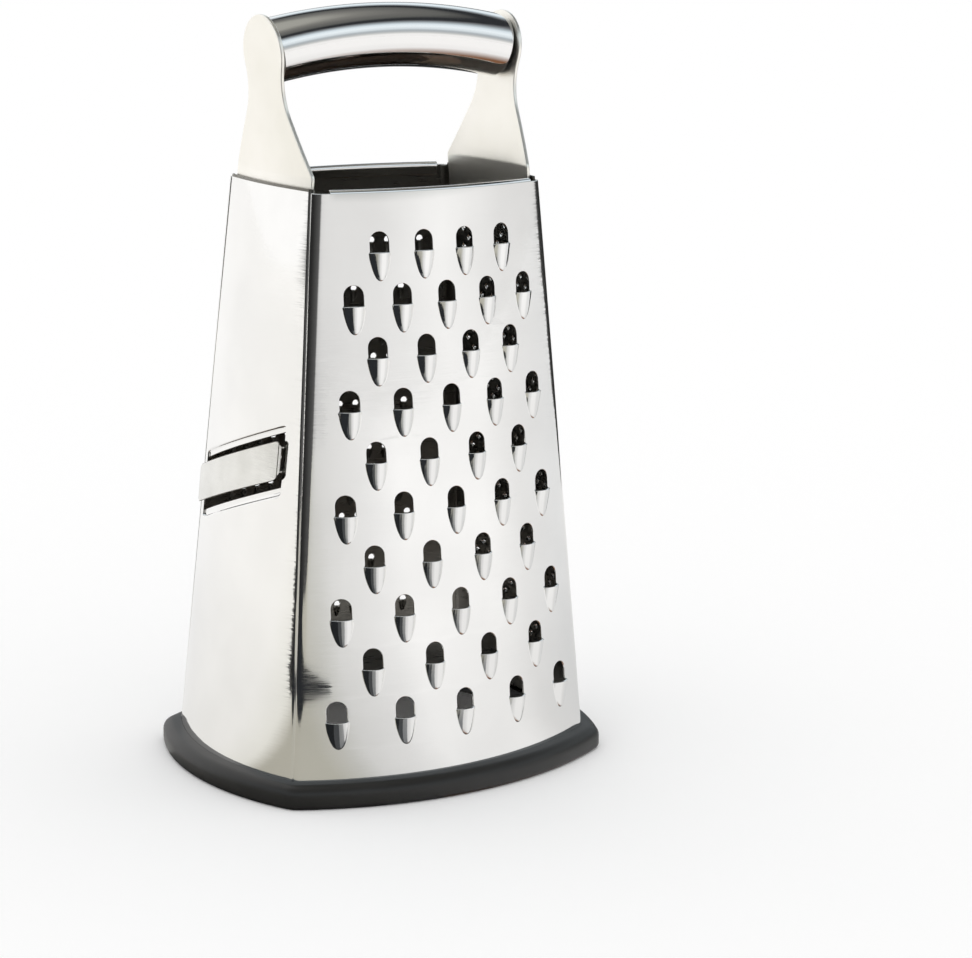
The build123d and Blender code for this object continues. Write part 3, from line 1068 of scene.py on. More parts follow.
    def margin(self, z: np.ndarray) -> tuple[np.ndarray, np.ndarray]:
        """Headings and insets of the columns between the teeth and the sheet's edge.

        Args:
            z: heights, one for each row of points.

        Returns:
            Headings and insets, arrays (heights, columns).
        """
        side = self.rows.side
        arc = BODY.arcs(side, z)
        start = BODY.heading(side, self.rows.reach * self.rows.half_span(z), z)
        if not self.lapped:
            shares = np.array([0, 0.33, self.hem_share, 0.82, 1.0])
            own = start[:, None] + (arc["corner_start"] - start)[:, None] * shares
            bend = np.linspace(0, 1, 9)[1:]
            corner = arc["corner_start"][:, None] + (arc["corner_end"] - arc["corner_start"])[:, None] * bend
            seam = np.arccos((arc["next_chord"] / 2 - BODY.wrap(z)) / arc["next_radius"])
            wrapped = arc["corner_end"][:, None] + (seam - arc["corner_end"])[:, None] * np.array([0.5, 1.0])
            headings = np.hstack([own, corner, wrapped])
            return headings, np.zeros_like(headings)
        step_end = arc["chord"] / 2 - BODY.wrap(z) - BODY.seam_gap
        step_start = step_end - BODY.step_length
        own_end = np.arcsin(step_start / arc["radius"])
        own = start[:, None] + (own_end - start)[:, None] * np.linspace(0, 1, self.own_columns)
        share = np.linspace(0, 1, self.step_columns + 1)[1:]
        step = np.arcsin((step_start[:, None] + BODY.step_length * share) / arc["radius"][:, None])
        behind = BODY.sheet + BODY.lap_gap
        reach = (step_end + BODY.lap - arc["corner_x"]) / (BODY.corner_radius - behind)
        lap_end = np.minimum(np.arcsin(np.clip(reach, -1, 1)), arc["corner_end"])
        lap_share = np.linspace(0, 1, self.lap_columns + 1)[1:]
        last = step[:, -1:]
        lap = last + (lap_end[:, None] - last) * lap_share
        insets = np.concatenate([
            np.zeros(self.own_columns), behind * (1 - np.cos(share * np.pi)) / 2, np.full(self.lap_columns, behind)
        ])
        headings = np.hstack([own, step, lap])
        return headings, insets[None] + 0 * headings

    def build(self) -> bpy.types.Object:
        """Put all patches together, weld them and give them the sheet's thickness.

        Returns:
            The finished piece.
        """
        patches, rows = Patchwork(), self.rows
        if isinstance(self.shape, ToothShape):
            middle = self.add_rows(patches, self.add_tooth)
        elif isinstance(self.shape, PunchShape):
            middle = self.add_rows(patches, self.add_punch)
        else:
            self.add_window(patches)
            shares = np.linspace(-1, 1, len(self.window.rows()))
            middle = self.window.height + shares * self.window.cell_half_height
        columns = len(self.window.columns())
        stations = rows.stations() if self.shape else np.linspace(-rows.reach, rows.reach, columns)
        low = np.linspace(BODY.foot_height, middle[0], self.foot_steps + 1)
        high = np.linspace(middle[-1], self.top, self.top_steps + 1)
        # On the side walls the top band, the margins' top strips and every rim take INSIDE: dark tint painted as the
        # shadow in the gap under the plates and as shade at the rims.
        cut = Skin.INSIDE if self.lapped else Skin.SHEET
        if self.lapped:
            high[-2] = self.top - self.painted_shade_band
        for levels, finish in ((low, Skin.SHEET), (high[:-1], Skin.SHEET), (high[-2:], cut)):
            across = stations[None] * rows.half_span(levels)[:, None]
            patches.add_grid(self.at(across, levels[:, None]), finish=finish)
        levels = np.concatenate([low, middle[1:-1], high])
        headings, insets = self.margin(levels)
        heights = levels[:, None] + 0 * headings
        if self.lapped:
            behind = slice(self.own_columns + self.step_columns, None)
            heights[:, behind] = np.minimum(heights[:, behind], BODY.rim_height - self.hem_radius)
        for part, finish in ((slice(0, -1), Skin.SHEET), (slice(-2, None), cut)):
            edge = (headings[part], heights[part], insets[part])
            patches.add_grid(BODY.place(rows.side, *edge), finish=finish)
            patches.add_grid(BODY.place(rows.side, -edge[0], *edge[1:])[:, ::-1], finish=finish)
        if not self.lapped:
            self.add_hem(patches, stations, headings[-1])
        radius = 0.0 if isinstance(self.shape, PunchShape) else self.edge_radius
        points, faces, own = patches.welded()
        points, faces, part, facing = thicken(points, faces, BODY.sheet, radius)
        # Backs take INSIDE, the dark tint painted as the shade inside the box, save behind petals.
        order = np.array([Skin.SHEET, Skin.INSIDE, cut])[part]
        petal = own == Skin.PETAL
        order[: len(own)] = np.where(petal, Skin.SHEET, own)
        order[len(own) : 2 * len(own)] = np.where(petal, Skin.SHEET, Skin.INSIDE)
        if not radius:
            return make_piece(self.name, points, faces, self.finishes, order, crease=50.0)
        return make_piece(self.name, points, faces, self.finishes, order, facing)

    def add_rows(self, patches: Patchwork, add_one: Callable[..., None]) -> np.ndarray:
        """All teeth or punches, and plain strips where a row has one fewer.

        Args:
            patches: takes the patches.
            add_one: the method that adds one tooth or punch.

        Returns:
            The heights that carry a row of points.
        """
        rows = self.rows
        for across, z, stations in self.cells():
            add_one(patches, across, z, stations)
        strip = np.linspace(1, rows.reach, rows.half_cell + 1)
        for row, z in enumerate(rows.row_heights()):
            if row % 2 == 0:
                levels = z + rows.above - rows.pitch + np.arange(rows.cell_rows + 1) * rows.pitch / rows.cell_rows
                across = strip[None] * rows.half_span(levels)[:, None]
                patches.add_grid(self.at(across, levels[:, None]))
                patches.add_grid(self.at(-across[:, ::-1], levels[:, None]))
        return rows.levels()

    def add_hem(self, patches: Patchwork, stations: np.ndarray, edge: np.ndarray) -> None:
        """The rolled hem: a half circle over the top of the wall, then a leg down inside it.

        Args:
            patches: takes the patch.
            stations: the stations of the columns that the hem continues.
            edge: the headings of the margin's columns at the top.
        """
        side, base = self.rows.side, np.array(self.top)
        own = BODY.heading(side, stations * self.rows.half_span(base), base)
        more = edge[1:3]
        headings = np.concatenate([-more[::-1], own, more])
        angle = np.linspace(0, np.pi, 11)
        inset = np.concatenate([self.hem_radius * (1 - np.cos(angle)), np.full(3, 2 * self.hem_radius)])
        down = -self.hem_leg * np.linspace(0, 1, 4)[1:]
        lift = np.concatenate([self.hem_radius * np.sin(angle), down])
        points = BODY.place(side, headings[None], base, inset[:, None])
        points[..., 2] += lift[:, None]
        patches.add_grid(points)


# Handle


@dataclass
class Upright:
    """A plate that rises inside a side wall, leans out above a crease and ends in a round head."""

    name: str
    material: bpy.types.Material
    mirrored: bool
    plate: float = 1.2
    gap: float = 0.8
    side_gap: float = 1.0
    tab: float = 18.0
    tab_corner: float = 6.0
    bend_share: float = 0.09
    crease_rise: float = 3.2
    lean: float = 4.2
    shoulder_radius: float = 3.0
    flank_top: float = 3.6
    head_radius: float = 12.0
    head_rise: float = 37.3
    neck_radius: float = 20.0
    columns: int = 24
    edge_radius: float = 0.3

    @property
    def half(self) -> float:
        """Half width of the tab, from the side wall's clear width."""
        return BODY.rim_depth / 2 - BODY.rim_wrap - BODY.seam_gap - BODY.step_length - self.side_gap

    @property
    def crease(self) -> float:
        """Height of the crease."""
        return BODY.rim_height + self.crease_rise

    def outline(self) -> np.ndarray:
        """Height and half width up the plate's edge: a rounded tab, a sloping flank, a neck and a head.

        The shoulder and the neck are arcs tangent to the flank; the neck's
        centre lies both radii from the head's centre and one radius off the flank.

        Returns:
            Array (n, 2), from the bottom to the top.
        """
        half, foot = self.half, BODY.rim_height - self.tab
        head = self.crease + self.head_rise
        slope = math.atan((half - self.flank_top / 2) / self.head_rise)
        angle = np.linspace(0, QUARTER, 9)
        corner = np.stack([
            foot + self.tab_corner * (1 - np.cos(angle)), half - self.tab_corner * (1 - np.sin(angle))
        ], -1)
        straight = np.stack([np.linspace(foot + self.tab_corner, self.crease - 1.5, 6)[1:], np.full(5, half)], -1)
        run = self.shoulder_radius * math.tan(slope / 2)
        turn = np.linspace(0, slope, 6)
        shoulder = np.stack([
            self.crease - run + self.shoulder_radius * np.sin(turn),
            half - self.shoulder_radius * (1 - np.cos(turn)),
        ], -1)
        along = np.array([math.cos(slope), -math.sin(slope)])
        off = np.array([math.sin(slope), math.cos(slope)])
        base = np.array([self.crease - head, half]) + self.neck_radius * off
        reach = self.neck_radius + self.head_radius
        dot = float(base @ along)
        step = -dot - math.sqrt(dot**2 - float(base @ base) + reach**2)
        centre = base + along * step
        flank_end = centre - self.neck_radius * off
        flank = shoulder[-1] + (flank_end + np.array([head, 0]) - shoulder[-1]) * np.linspace(0, 1, 8)[1:-1, None]
        start = math.atan2(-off[1], -off[0])
        end = math.atan2(-centre[1], -centre[0])
        sweep = np.linspace(start, end, 12)
        neck = centre + self.neck_radius * np.stack([np.cos(sweep), np.sin(sweep)], -1) + np.array([head, 0])
        first = math.atan2(centre[1], centre[0])
        round_ = np.linspace(first, 0, 18)[1:]
        top = np.stack([head + self.head_radius * np.cos(round_), self.head_radius * np.sin(round_)], -1)
        return np.vstack([corner, straight, shoulder, flank, neck, top])

    def face(self, y: np.ndarray, z: np.ndarray) -> np.ndarray:
        """X of the outer face: the wall's inner arc up to the crease, then lines to a flat top.

        The middle bends over a share c of the height, by sqrt(s^2 + c^2) - c,
        and the flanks bend at once.

        Args:
            y: distances from the plate's middle line.
            z: heights.

        Returns:
            X, of the same shape.
        """
        inset = BODY.sheet + self.gap
        level = np.minimum(z, self.crease)
        arc = BODY.arcs(Side.RIGHT, level)
        bulge = arc["radius"] - arc["centre_y"] - inset
        curved = bulge - (arc["radius"] - inset) + np.sqrt((arc["radius"] - inset) ** 2 - y**2)
        top = self.crease + self.head_rise + self.head_radius
        flat = bulge + (top - self.crease) * math.tan(math.radians(self.lean))
        share = np.clip((z - self.crease) / (top - self.crease), 0, 1)
        soft = self.bend_share * np.cos(np.clip(y / self.half, -1, 1) * QUARTER) ** 2
        share = (np.sqrt(share**2 + soft**2) - soft) / (np.sqrt(1 + soft**2) - soft)
        return curved + (flat - curved) * share

    def build(self) -> bpy.types.Object:
        """Make the plate from its outline's half widths.

        Returns:
            The finished piece.
        """
        edge = self.outline()
        share = np.sin(np.linspace(-1, 1, self.columns + 1) * QUARTER)
        y = edge[:, 1:] * share[None]
        z = edge[:, :1] + 0 * y
        points = np.stack([self.face(y, z), y, z], -1)
        patches = Patchwork()
        patches.add_grid(points)
        points, faces, _ = patches.welded()
        points, faces, _, facing = thicken(points, faces, self.plate, self.edge_radius)
        if self.mirrored:
            points, facing = points * np.array([-1, 1, 1]), facing * np.array([-1, 1, 1])
            faces = faces[:, ::-1].copy()
            triangles = faces[:, 0] == faces[:, 1]
            faces[triangles] = faces[triangles][:, [1, 2, 3, 3]]
        return make_piece(self.name, points, faces, [self.material], facing=facing)


@dataclass
class Welds:
    """The fused spots between each plate's tab and its side wall."""

    name: str
    material: bpy.types.Material
    upright: Upright
    radius: float = 2.2
    drop: float = 9.0
    across: tuple[float, ...] = (-14.0, 0.0, 14.0)
    fit: float = 0.06

    def build(self) -> bpy.types.Object:
        """A low lens for each spot: at a share s of its radius it is h sqrt(1 - s^2 / 2) thick.

        Returns:
            The finished piece.
        """
        share, angle = np.meshgrid(np.array([0.0, 0.6, 1.0]), np.linspace(0, 2 * np.pi, 17), indexing="ij")
        lens = self.upright.gap / 2 - self.fit
        thick = lens * np.sqrt(1 - share**2 / 2)
        patches = Patchwork()
        for sign in (-1, 1):
            for across in self.across:
                y = across + self.radius * share * np.cos(angle)
                z = BODY.rim_height - self.drop + self.radius * share * np.sin(angle)
                middle = self.upright.face(y, z) + self.upright.gap / 2
                outer = np.stack([sign * (middle + thick), sign * y, z], -1)
                inner = np.stack([sign * (middle - thick), sign * y, z], -1)
                patches.add_grid(np.concatenate([outer, inner[::-1]]))
        points, faces, _ = patches.welded()
        return make_piece(self.name, points, faces, [self.material], crease=40.0)


@dataclass
class Tube:
    """The grip: a hollow tube on an arc, cut square, its ends meeting the heads along their top."""

    name: str
    finishes: list[bpy.types.Material]
    upright: Upright
    radius: float = 10.4
    wall: float = 1.0
    arch_radius: float = 215.0
    top_height: float = 251.4
    fit: float = 0.05
    edge_radius: float = 0.2

    def build(self) -> bpy.types.Object:
        """A circle carried along an arc about the Y axis: (R + r cos u) times (sin t, cos t), and r sin u.

        Returns:
            The finished piece.
        """
        lean = math.tan(math.radians(self.upright.lean))
        centre = self.top_height - self.radius - self.arch_radius
        face = float(self.upright.face(np.array(0.0), np.array(self.upright.crease)))
        inner = face - self.upright.plate - self.fit
        reach = inner + lean * (centre - self.upright.crease)
        outer = self.arch_radius + self.radius
        half = math.atan(lean) + math.asin(reach / (outer * math.sqrt(1 + lean**2)))
        t, u = np.meshgrid(np.linspace(-half, half, 49), np.linspace(0, 2 * np.pi, 65)[:-1])
        out = self.arch_radius + self.radius * np.cos(u)
        points = np.stack([out * np.sin(t), self.radius * np.sin(u), centre + out * np.cos(t)], -1)
        patches = Patchwork()
        patches.add_grid(points, wrap_rows=True)
        points, faces, _ = patches.welded()
        points, faces, part, facing = thicken(points, faces, self.wall, self.edge_radius)
        # The inner face takes the second finish, the dark inside tint painted as the shade within the tube.
        return make_piece(self.name, points, faces, self.finishes, (part == 1).astype(int), facing)


# Base


@dataclass
class BaseRing:
    """The rubber ring: a rounded band round the foot with a channel that grips the walls."""

    name: str
    material: bpy.types.Material
    height: float = 7.7
    proud: float = 5.5
    top_round: float = 3.5
    foot_round: float = 1.5
    fit: float = 0.05
    lip: float = 2.2
    lip_height: float = 6.0

    def profile(self) -> np.ndarray:
        """The ring's section as inset, height and the height whose outline it follows.

        Returns:
            Array (n, 3), round the section.
        """
        angle = np.linspace(0, QUARTER, 8)
        foot = [
            (-self.proud + self.foot_round * (1 - math.sin(a)), self.foot_round * (1 - math.cos(a)), 0) for a in angle
        ]
        top = [
            (
                -self.proud + self.top_round * (1 - math.cos(a)),
                self.height - self.top_round * (1 - math.sin(a)),
                0,
            )
            for a in angle
        ]
        behind = 2 * BODY.sheet + BODY.lap_gap + self.fit
        mouth = behind + self.lip
        rest = [
            (-self.fit, self.height, self.height),
            (-self.fit, BODY.foot_height, BODY.foot_height),
            (behind, BODY.foot_height, BODY.foot_height),
            (behind, self.lip_height, self.lip_height),
            (mouth, self.lip_height, 0),
            (mouth, 0, 0),
        ]
        return np.array([*foot, *top, *rest])

    def build(self) -> bpy.types.Object:
        """Carry the section round the body's outline, quarter by quarter.

        Returns:
            The finished piece.
        """
        loops = []
        for inset, z, level in self.profile():
            arc = BODY.arcs(Side.FRONT, np.array(level))
            start, end = float(arc["corner_start"]), float(arc["corner_end"])
            own = np.linspace(0, start, 15)
            bend = np.linspace(start, end, 9)[1:]
            beyond = np.linspace(end, QUARTER, 13)[1:]
            quarter = BODY.place(Side.FRONT, np.concatenate([own, bend, beyond]), level, inset)
            quarter[:, 2] = z
            right = np.vstack([quarter, quarter[-2::-1] * np.array([1, -1, 1])])
            left = right[-2:0:-1] * np.array([-1, 1, 1])
            loops.append(np.vstack([right, left]))
        points = np.stack(loops)
        patches = Patchwork()
        patches.add_grid(points, wrap_rows=True, wrap_columns=True)
        points, faces, _ = patches.welded()
        return make_piece(self.name, points, faces, [self.material], crease=40.0)


# Stage


@dataclass(frozen=True)
class Camera:
    """The photograph's viewpoint, from its own perspective."""

    position: tuple[float, float, float] = (-463.9, -744.1, 292.6)
    yaw: float = 34.22
    pitch: float = -12.80
    roll: float = 0.83
    lens: float = 98.8
    sensor: float = 36.0

    def build(self) -> None:
        """Make the camera and set it as the scene's."""
        yaw, pitch, roll = (math.radians(a) for a in (self.yaw, self.pitch, self.roll))
        ahead = np.array([math.sin(yaw) * math.cos(pitch), math.cos(yaw) * math.cos(pitch), math.sin(pitch)])
        right = np.array([math.cos(yaw), -math.sin(yaw), 0.0])
        up = np.cross(right, ahead)
        across = math.cos(roll) * right + math.sin(roll) * up
        upward = -math.sin(roll) * right + math.cos(roll) * up
        data = bpy.data.cameras.new("photo_camera")
        data.sensor_fit = "HORIZONTAL"
        data.sensor_width = self.sensor
        data.lens = self.lens
        data.clip_start = 0.01
        made = bpy.data.objects.new("photo_camera", data)
        rows = np.eye(4)
        rows[:3, 0], rows[:3, 1], rows[:3, 2] = across, upward, -ahead
        rows[:3, 3] = np.array(self.position) * MM
        made.matrix_world = Matrix(rows.tolist())
        bpy.context.scene.collection.objects.link(made)
        bpy.context.scene.camera = made


@dataclass(frozen=True)
class Studio:
    """A white floor under a white dome, and for reflections alone a table, dark sides and a soft light.

    Directions are azimuths in degrees from -Y towards +X. The sky is given by
    (height of the direction, colour) and the horizon by (azimuth, share of it).
    These lists aren't a plain studio: their values were read off the photograph's steel, direction by direction,
    rounded and adjusted, and they should be replaced.
    """

    sky: tuple[tuple[float, str], ...] = (
        (0.0, "FFFFFF"), (0.07, "FFFFFF"), (0.12, "DEE0DF"), (0.2, "B7BCC0"), (0.27, "B0B9BF"), (0.33, "D6E0E6"),
        (0.45, "EEF8FE"), (0.54, "DCE8F0"), (0.6, "A9B4BB"), (0.65, "74787C"), (0.69, "292B2E"), (0.74, "2E3033"),
        (0.79, "60615F"), (0.84, "6A6A68"), (0.89, "7E7E7A"), (0.93, "9F9F99"), (1.0, "A8A8A2"),
    )
    horizon: tuple[tuple[float, float], ...] = (
        (-180, 1.0), (-130, 1.0), (-126, 0.02), (-99, 0.02), (-79, 0.035), (-59, 0.055), (-39, 0.075), (-24, 0.11),
        (-14, 0.6), (-7, 0.71), (0, 0.76), (11, 0.78), (22, 0.85), (32, 0.92), (43, 0.86), (54, 0.77), (68, 0.74),
        (71, 0.03), (144, 0.03), (154, 0.85), (180, 1.0),
    )
    table_edge: tuple[tuple[float, float], ...] = (
        (-180, 8.0), (-129, 8.0), (-125, 5.5), (-121, 4.0), (-115, 2.0), (-110, 1.15), (-106, 0.75), (-102, 0.48),
        (-99, 0.34), (-95, 0.28), (-72, 0.3), (-66, 0.85), (-39, 0.95),
        (-31, 1.2), (-27, 2.6), (-12, 3.2), (-8, 8.0), (69, 8.0), (72, 3.5), (78, 1.3), (84, 0.85), (90, 0.65),
        (150, 0.65), (151, 8.0), (180, 8.0),
    )
    table_tone: tuple[tuple[float, str], ...] = (
        (-180, "FFFFFF"), (-112, "FFFEFB"), (-96, "F4F3EC"), (-88, "BDBAAE"), (-30, "BFBDB2"), (-20, "CFCFCB"),
        (-14, "E0E0DF"), (0, "EEEEEE"), (12, "FFFFFF"), (43, "FFFFFF"), (58, "EEEEEE"), (76, "E6E7E8"), (100, "F2F2F2"),
        (180, "FFFFFF"),
    )
    # Sectors of the table's painted reflection: first and last azimuth, the angle of sight in degrees where it turns
    # dark, the blur, and the dark colour.
    table_steep: tuple[tuple[float, float, float, float, str], ...] = (
        (-180.0, -112.0, 40.0, 7.0, "75675A"), (-112.0, -48.0, 17.0, 4.0, "26282A"),
        (-48.0, -30.0, 21.0, 5.0, "4C4E50"), (-30.0, -12.0, 25.0, 7.0, "86888A"), (-12.0, 96.0, 45.0, 9.0, "8A6248"),
        (96.0, 180.0, 17.0, 4.0, "26282A"),
    )
    # Painted shade on the table near the grater: the distances in metres where it starts and ends fading, and its least
    # share.
    near_painted_shade: tuple[float, float, float] = (0.08, 0.6, 0.86)
    side_panel: tuple[tuple[float, float], ...] = (
        (-180, 1.0), (-132, 1.0), (-122, 0.0), (150, 0.0), (165, 1.0), (180, 1.0)
    )
    dark_strip: tuple[tuple[float, float, float], ...] = (
        (-88, 0.27, 0.9), (-72, 0.26, 0.8), (-62, 0.27, 0.65), (-44, 0.29, 0.53), (-28, 0.32, 0.44), (-20, 0.35, 0.38),
    )
    low_sky: tuple[float, float] = (0.1, 0.32)
    gloss_gain: float = 1.06

    def surface(self, name: str, tint: str) -> bpy.types.Material:
        """A plain matt material."""
        made, tree = empty_material(name)
        settings = {"Base Color": linear(tint), "Roughness": 0.9, "Specular IOR Level": 0.0}
        shader = node(tree, "ShaderNodeBsdfPrincipled", settings)
        node(tree, "ShaderNodeOutputMaterial", links={"Surface": shader.outputs["BSDF"]})
        return made

    def table_painted_light(self, name: str, steep: float, blur: float, steep_tint: str) -> bpy.types.Material:
        """A matt table top with a painted reflection: pale at a low angle of sight and turning to its own dark colour
        from above, as a polished top would look, and with painted shade that darkens it near the grater.

        Args:
            name: the material's name.
            steep: angle in degrees above which it turns dark.
            blur: how many degrees before and after that the change takes.
            steep_tint: its dark colour.

        Returns:
            A matt material whose tint follows the azimuth and the angle of sight, as painted reflection, and darkens
            near the grater as painted shade.
        """
        made = self.surface(name, steep_tint)
        tree = made.node_tree
        place = node(tree, "ShaderNodeTexCoord")
        stops = [((at + 180) / 360, linear(tint)) for at, tint in self.table_tone]
        share = self.azimuth(tree, place.outputs["Object"])
        tone = node(tree, "ShaderNodeValToRGB", {"stops": stops}, {"Fac": share})
        low, high = (1 - math.sin(math.radians(steep + more)) for more in (blur, -blur))
        # Painted reflection: the colour turns from pale to dark as the angle of sight steepens, as if the matt top were
        # polished.
        slant = node(tree, "ShaderNodeLayerWeight", {"Blend": 0.5})
        flatness = node(
            tree, "ShaderNodeMapRange", {"From Min": low, "From Max": high}, {"Value": slant.outputs["Facing"]}
        )
        mixed = node(
            tree, "ShaderNodeMixRGB", {"Color1": linear(steep_tint)},
            {"Fac": flatness.outputs["Result"], "Color2": tone.outputs["Color"]},
        )
        # Painted shade: the colour darkens towards the grater, down to the least share at the middle.
        start, end, least = self.near_painted_shade
        far = node(tree, "ShaderNodeVectorMath", {"operation": "LENGTH"}, {0: place.outputs["Object"]})
        level = node(
            tree, "ShaderNodeMapRange", {"From Min": start, "From Max": end, "To Min": least},
            {"Value": far.outputs["Value"]},
        )
        shaded = node(
            tree, "ShaderNodeVectorMath", {"operation": "SCALE"},
            {0: mixed.outputs["Color"], "Scale": level.outputs["Result"]},
        )
        shader = next(part for part in tree.nodes if part.type == "BSDF_PRINCIPLED")
        tree.links.new(shaded.outputs["Vector"], shader.inputs["Base Color"])
        return made

    def azimuth(self, tree: bpy.types.NodeTree, vector: bpy.types.NodeSocket) -> bpy.types.NodeSocket:
        """The azimuth of a vector as a share of the circle, from behind: atan2(X, -Y) from -pi to pi.

        Args:
            tree: the node tree that takes the nodes.
            vector: the socket that gives the vector.

        Returns:
            The socket that gives the share.
        """
        part = node(tree, "ShaderNodeSeparateXYZ", links={"Vector": vector})
        back = node(tree, "ShaderNodeMath", {"operation": "MULTIPLY", 1: -1.0}, {0: part.outputs["Y"]})
        turn = node(
            tree, "ShaderNodeMath", {"operation": "ARCTAN2"}, {0: part.outputs["X"], 1: back.outputs["Value"]}
        )
        share = node(
            tree, "ShaderNodeMapRange", {"From Min": -math.pi, "From Max": math.pi}, {"Value": turn.outputs["Value"]}
        )
        return share.outputs["Result"]

    def ground(
        self, name: str, azimuths: np.ndarray, inner: np.ndarray, outer: np.ndarray, finish: bpy.types.Material,
        height: float = 0.0,
    ) -> None:
        """A flat ring sector in the floor that only reflections see.

        Args:
            name: its name.
            azimuths: directions of its corners, in degrees.
            inner: inner radius at each, in metres.
            outer: outer radius at each, in metres.
            finish: its material.
            height: its height, in metres.
        """
        turn = np.radians(azimuths)
        unit = np.stack([np.sin(turn), -np.cos(turn), 0 * turn], -1)
        points = np.vstack([unit * inner[:, None], unit * outer[:, None]]) + np.array([0, 0, height])
        count = len(turn)
        first = np.arange(count - 1)
        faces = np.stack([first + count, first + count + 1, first + 1, first], -1)
        mesh = bpy.data.meshes.new(name)
        mesh.from_pydata(points.tolist(), [], faces.tolist())
        mesh.materials.append(finish)
        made = bpy.data.objects.new(name, mesh)
        bpy.context.scene.collection.objects.link(made)
        made.visible_camera = False
        made.visible_diffuse = False
        made.visible_shadow = False
        made.visible_transmission = False

    def world(self) -> bpy.types.World:
        """White for light and sight; for gloss the sky's colour, times the horizon's share down low.

        Returns:
            The new world.
        """
        made = bpy.data.worlds.new("studio_surround")
        made.use_nodes = True
        tree = made.node_tree
        tree.nodes.clear()
        path = node(tree, "ShaderNodeLightPath")
        direction = node(tree, "ShaderNodeTexCoord")
        part = node(tree, "ShaderNodeSeparateXYZ", links={"Vector": direction.outputs["Generated"]})
        share = self.azimuth(tree, direction.outputs["Generated"])
        stops = [(at, linear(tint)) for at, tint in self.sky]
        sky = node(tree, "ShaderNodeValToRGB", {"stops": stops}, {"Fac": part.outputs["Z"]})
        grey = [
            [((at + 180) / 360, (level, level, level, 1.0)) for at, level in levels]
            for levels in (self.horizon, self.side_panel)
        ]
        horizon, panel = (node(tree, "ShaderNodeValToRGB", {"stops": stops}, {"Fac": share}) for stops in grey)
        sky = node(
            tree, "ShaderNodeMixRGB", {"Color2": (1.0, 1.0, 1.0, 1.0)},
            {"Fac": panel.outputs["Color"], "Color1": sky.outputs["Color"]},
        )
        low_start, low_end = self.low_sky
        low = node(
            tree, "ShaderNodeMapRange",
            {
                "interpolation_type": "SMOOTHSTEP",
                "From Min": low_start, "From Max": low_end, "To Min": 1.0, "To Max": 0.0,
            },
            {"Value": part.outputs["Z"]},
        )
        dimmed = node(
            tree, "ShaderNodeMixRGB", {"blend_type": "MULTIPLY"},
            {"Fac": low.outputs["Result"], "Color1": sky.outputs["Color"], "Color2": horizon.outputs["Color"]},
        )
        seen = node(
            tree, "ShaderNodeMixRGB", {"Color1": (1.0, 1.0, 1.0, 1.0)},
            {"Fac": path.outputs["Is Glossy Ray"], "Color2": dimmed.outputs["Color"]},
        )
        gain = node(
            tree, "ShaderNodeMapRange", {"To Min": 1.0, "To Max": self.gloss_gain},
            {"Value": path.outputs["Is Glossy Ray"]},
        )
        light = node(
            tree, "ShaderNodeBackground",
            links={"Color": seen.outputs["Color"], "Strength": gain.outputs["Result"]},
        )
        node(tree, "ShaderNodeOutputWorld", links={"Surface": light.outputs["Background"]})
        return made

    def build(self) -> None:
        """Make the floor, the table and dark strip that only reflections see, and the world."""
        mesh = bpy.data.meshes.new("floor")
        mesh.from_pydata([(-8, -8, 0), (8, -8, 0), (8, 8, 0), (-8, 8, 0)], [], [(0, 1, 2, 3)])
        mesh.materials.append(self.surface("white_floor", "FFFFFF"))
        floor = bpy.data.objects.new("floor", mesh)
        bpy.context.scene.collection.objects.link(floor)
        floor.visible_glossy = False
        azimuth, radius = np.array(self.table_edge).T
        for count, (start, end, steep, blur, tint) in enumerate(self.table_steep):
            fine = np.unique(np.concatenate([azimuth, np.linspace(-180, 180, 73), [start, end]]))
            fine = fine[(fine >= start) & (fine <= end)]
            edge = np.interp(fine, azimuth, radius)
            name = f"painted_reflection_table_{count}"
            self.ground(name, fine, 0 * edge, edge, self.table_painted_light(name, steep, blur, tint))
        azimuth, near, far = np.array(self.dark_strip).T
        self.ground("dark_strip", azimuth, near, far, self.surface("dark_strip", "2A2C2F"), 0.0002)
        bpy.context.scene.world = self.world()


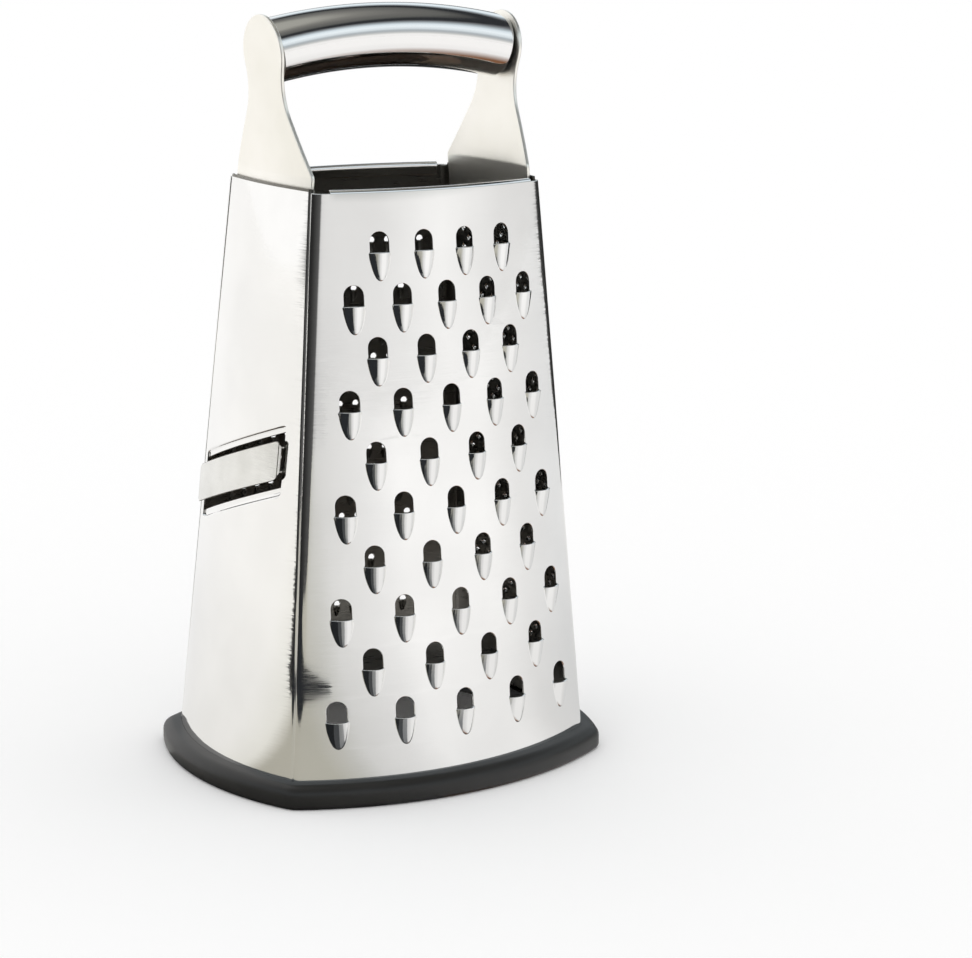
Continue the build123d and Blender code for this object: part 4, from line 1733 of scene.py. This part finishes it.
def main() -> None:
    """Load the frame, build every piece and report each one."""
    logging.basicConfig(level=logging.INFO, format="%(name)s: %(message)s")
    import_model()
    bpy.context.scene.view_settings.view_transform = "Standard"
    Camera().build()
    Studio().build()

    # Bright walls that mirror the studio, with edges of reflections drawn out into fine level streaks.
    sheet = Steel("brushed_stainless_sheet").material()
    # Painted shade: a dark grey tint, far darker than steel, on the sheets' backs, the tube's inside and the side
    # walls' rims and top band, for the dull depth that shows through the openings and over the rim.
    inside = Steel(
        "painted_shade_inside", tint="86837D", shade="75726B", roughness=0.32, roughness_spread=0.06, sway=0.03
    ).material()
    # A calmer grey than the wall round it, with short smears from grinding.
    blade = Steel(
        "ground_stainless_blade", tint="E9E8E4", shade="DEDDD8", roughness=0.2, roughness_spread=0.05, sway=0.03,
        smear_mm=9.0,
    ).material()
    # Soft warm white plates whose reflections are only gentle shadings.
    plate = Steel(
        "satin_stainless_plate", tint="FFFCF5", shade="F8F5EC", roughness=0.34, roughness_spread=0.03,
        grain=Grain.NONE, line_mm=1.2, sway=0.004,
    ).material()
    # A mirror-like grip with bands of dark and light, streaked along its length.
    tube = Steel(
        "polished_stainless_tube", tint="F5F3F1", roughness=0.07, grain=Grain.ALONG_X, line_mm=0.6,
        line_length_mm=40.0, sway=0.035,
    ).material()
    # Small dull spots of melted metal, rough and a little brown.
    fused = Steel(
        "fused_stainless_weld", tint="9A948C", shade="7A746C", roughness=0.42, roughness_spread=0.1,
        grain=Grain.NONE, line_mm=0.5, sway=0.1, smear_mm=2.0,
    ).material()
    # Near-black with a broad weak sheen along the ring's rounding.
    rubber = Rubber("moulded_black_rubber").material()

    coarse = ToothShape(7.2, 2.3, 8.8, 6.7, 7.0, 0.4)
    medium = ToothShape(2.9, 0.8, 3.6, 2.5, 2.5, 0.15, opening_round=0.95, scoop_columns=6, rings=(0.0, 0.08, 1.0))
    walls = [
        ("coarse_wall", "front_panel", Rows(Side.FRONT, 10, 5, 16.54, 20.0, 10.8, 13.3, 7.35, 6, 15), coarse),
        ("medium_wall", "rear_panel", Rows(Side.REAR, 19, 13, 8.3, 19.6, 19.2, 8.1, 3.7, 2, 6, 1.05), medium),
        ("star_wall", "star_panel", Rows(Side.RIGHT, 49, 9, 3.25, 12.6, 12.2, 8.3, 1.625, 2, 2, 1.05), PunchShape()),
        ("slicing_wall", "slicer_panel", Rows(Side.LEFT, 1, 2, 1.0, 1.0, 4.2, 4.2, 1.0, 1, 1, 1.0), None),
    ]
    for name, cad_node, rows, shape in walls:
        dress(Wall(name, rows, shape, [sheet, inside, blade]).build(), cad_node)
    right = Upright("right_plate", plate, mirrored=False)
    dress(right.build(), "right_upright")
    dress(Upright("left_plate", plate, mirrored=True).build(), "left_upright")
    dress(Tube("grip_tube", [tube, inside], right).build(), "handle_tube")
    dress(BaseRing("rubber_ring", rubber).build(), "base_ring")
    dress(Welds("weld_spots", fused, right).build(), "spot_welds")


if __name__ == "__main__":
    main()
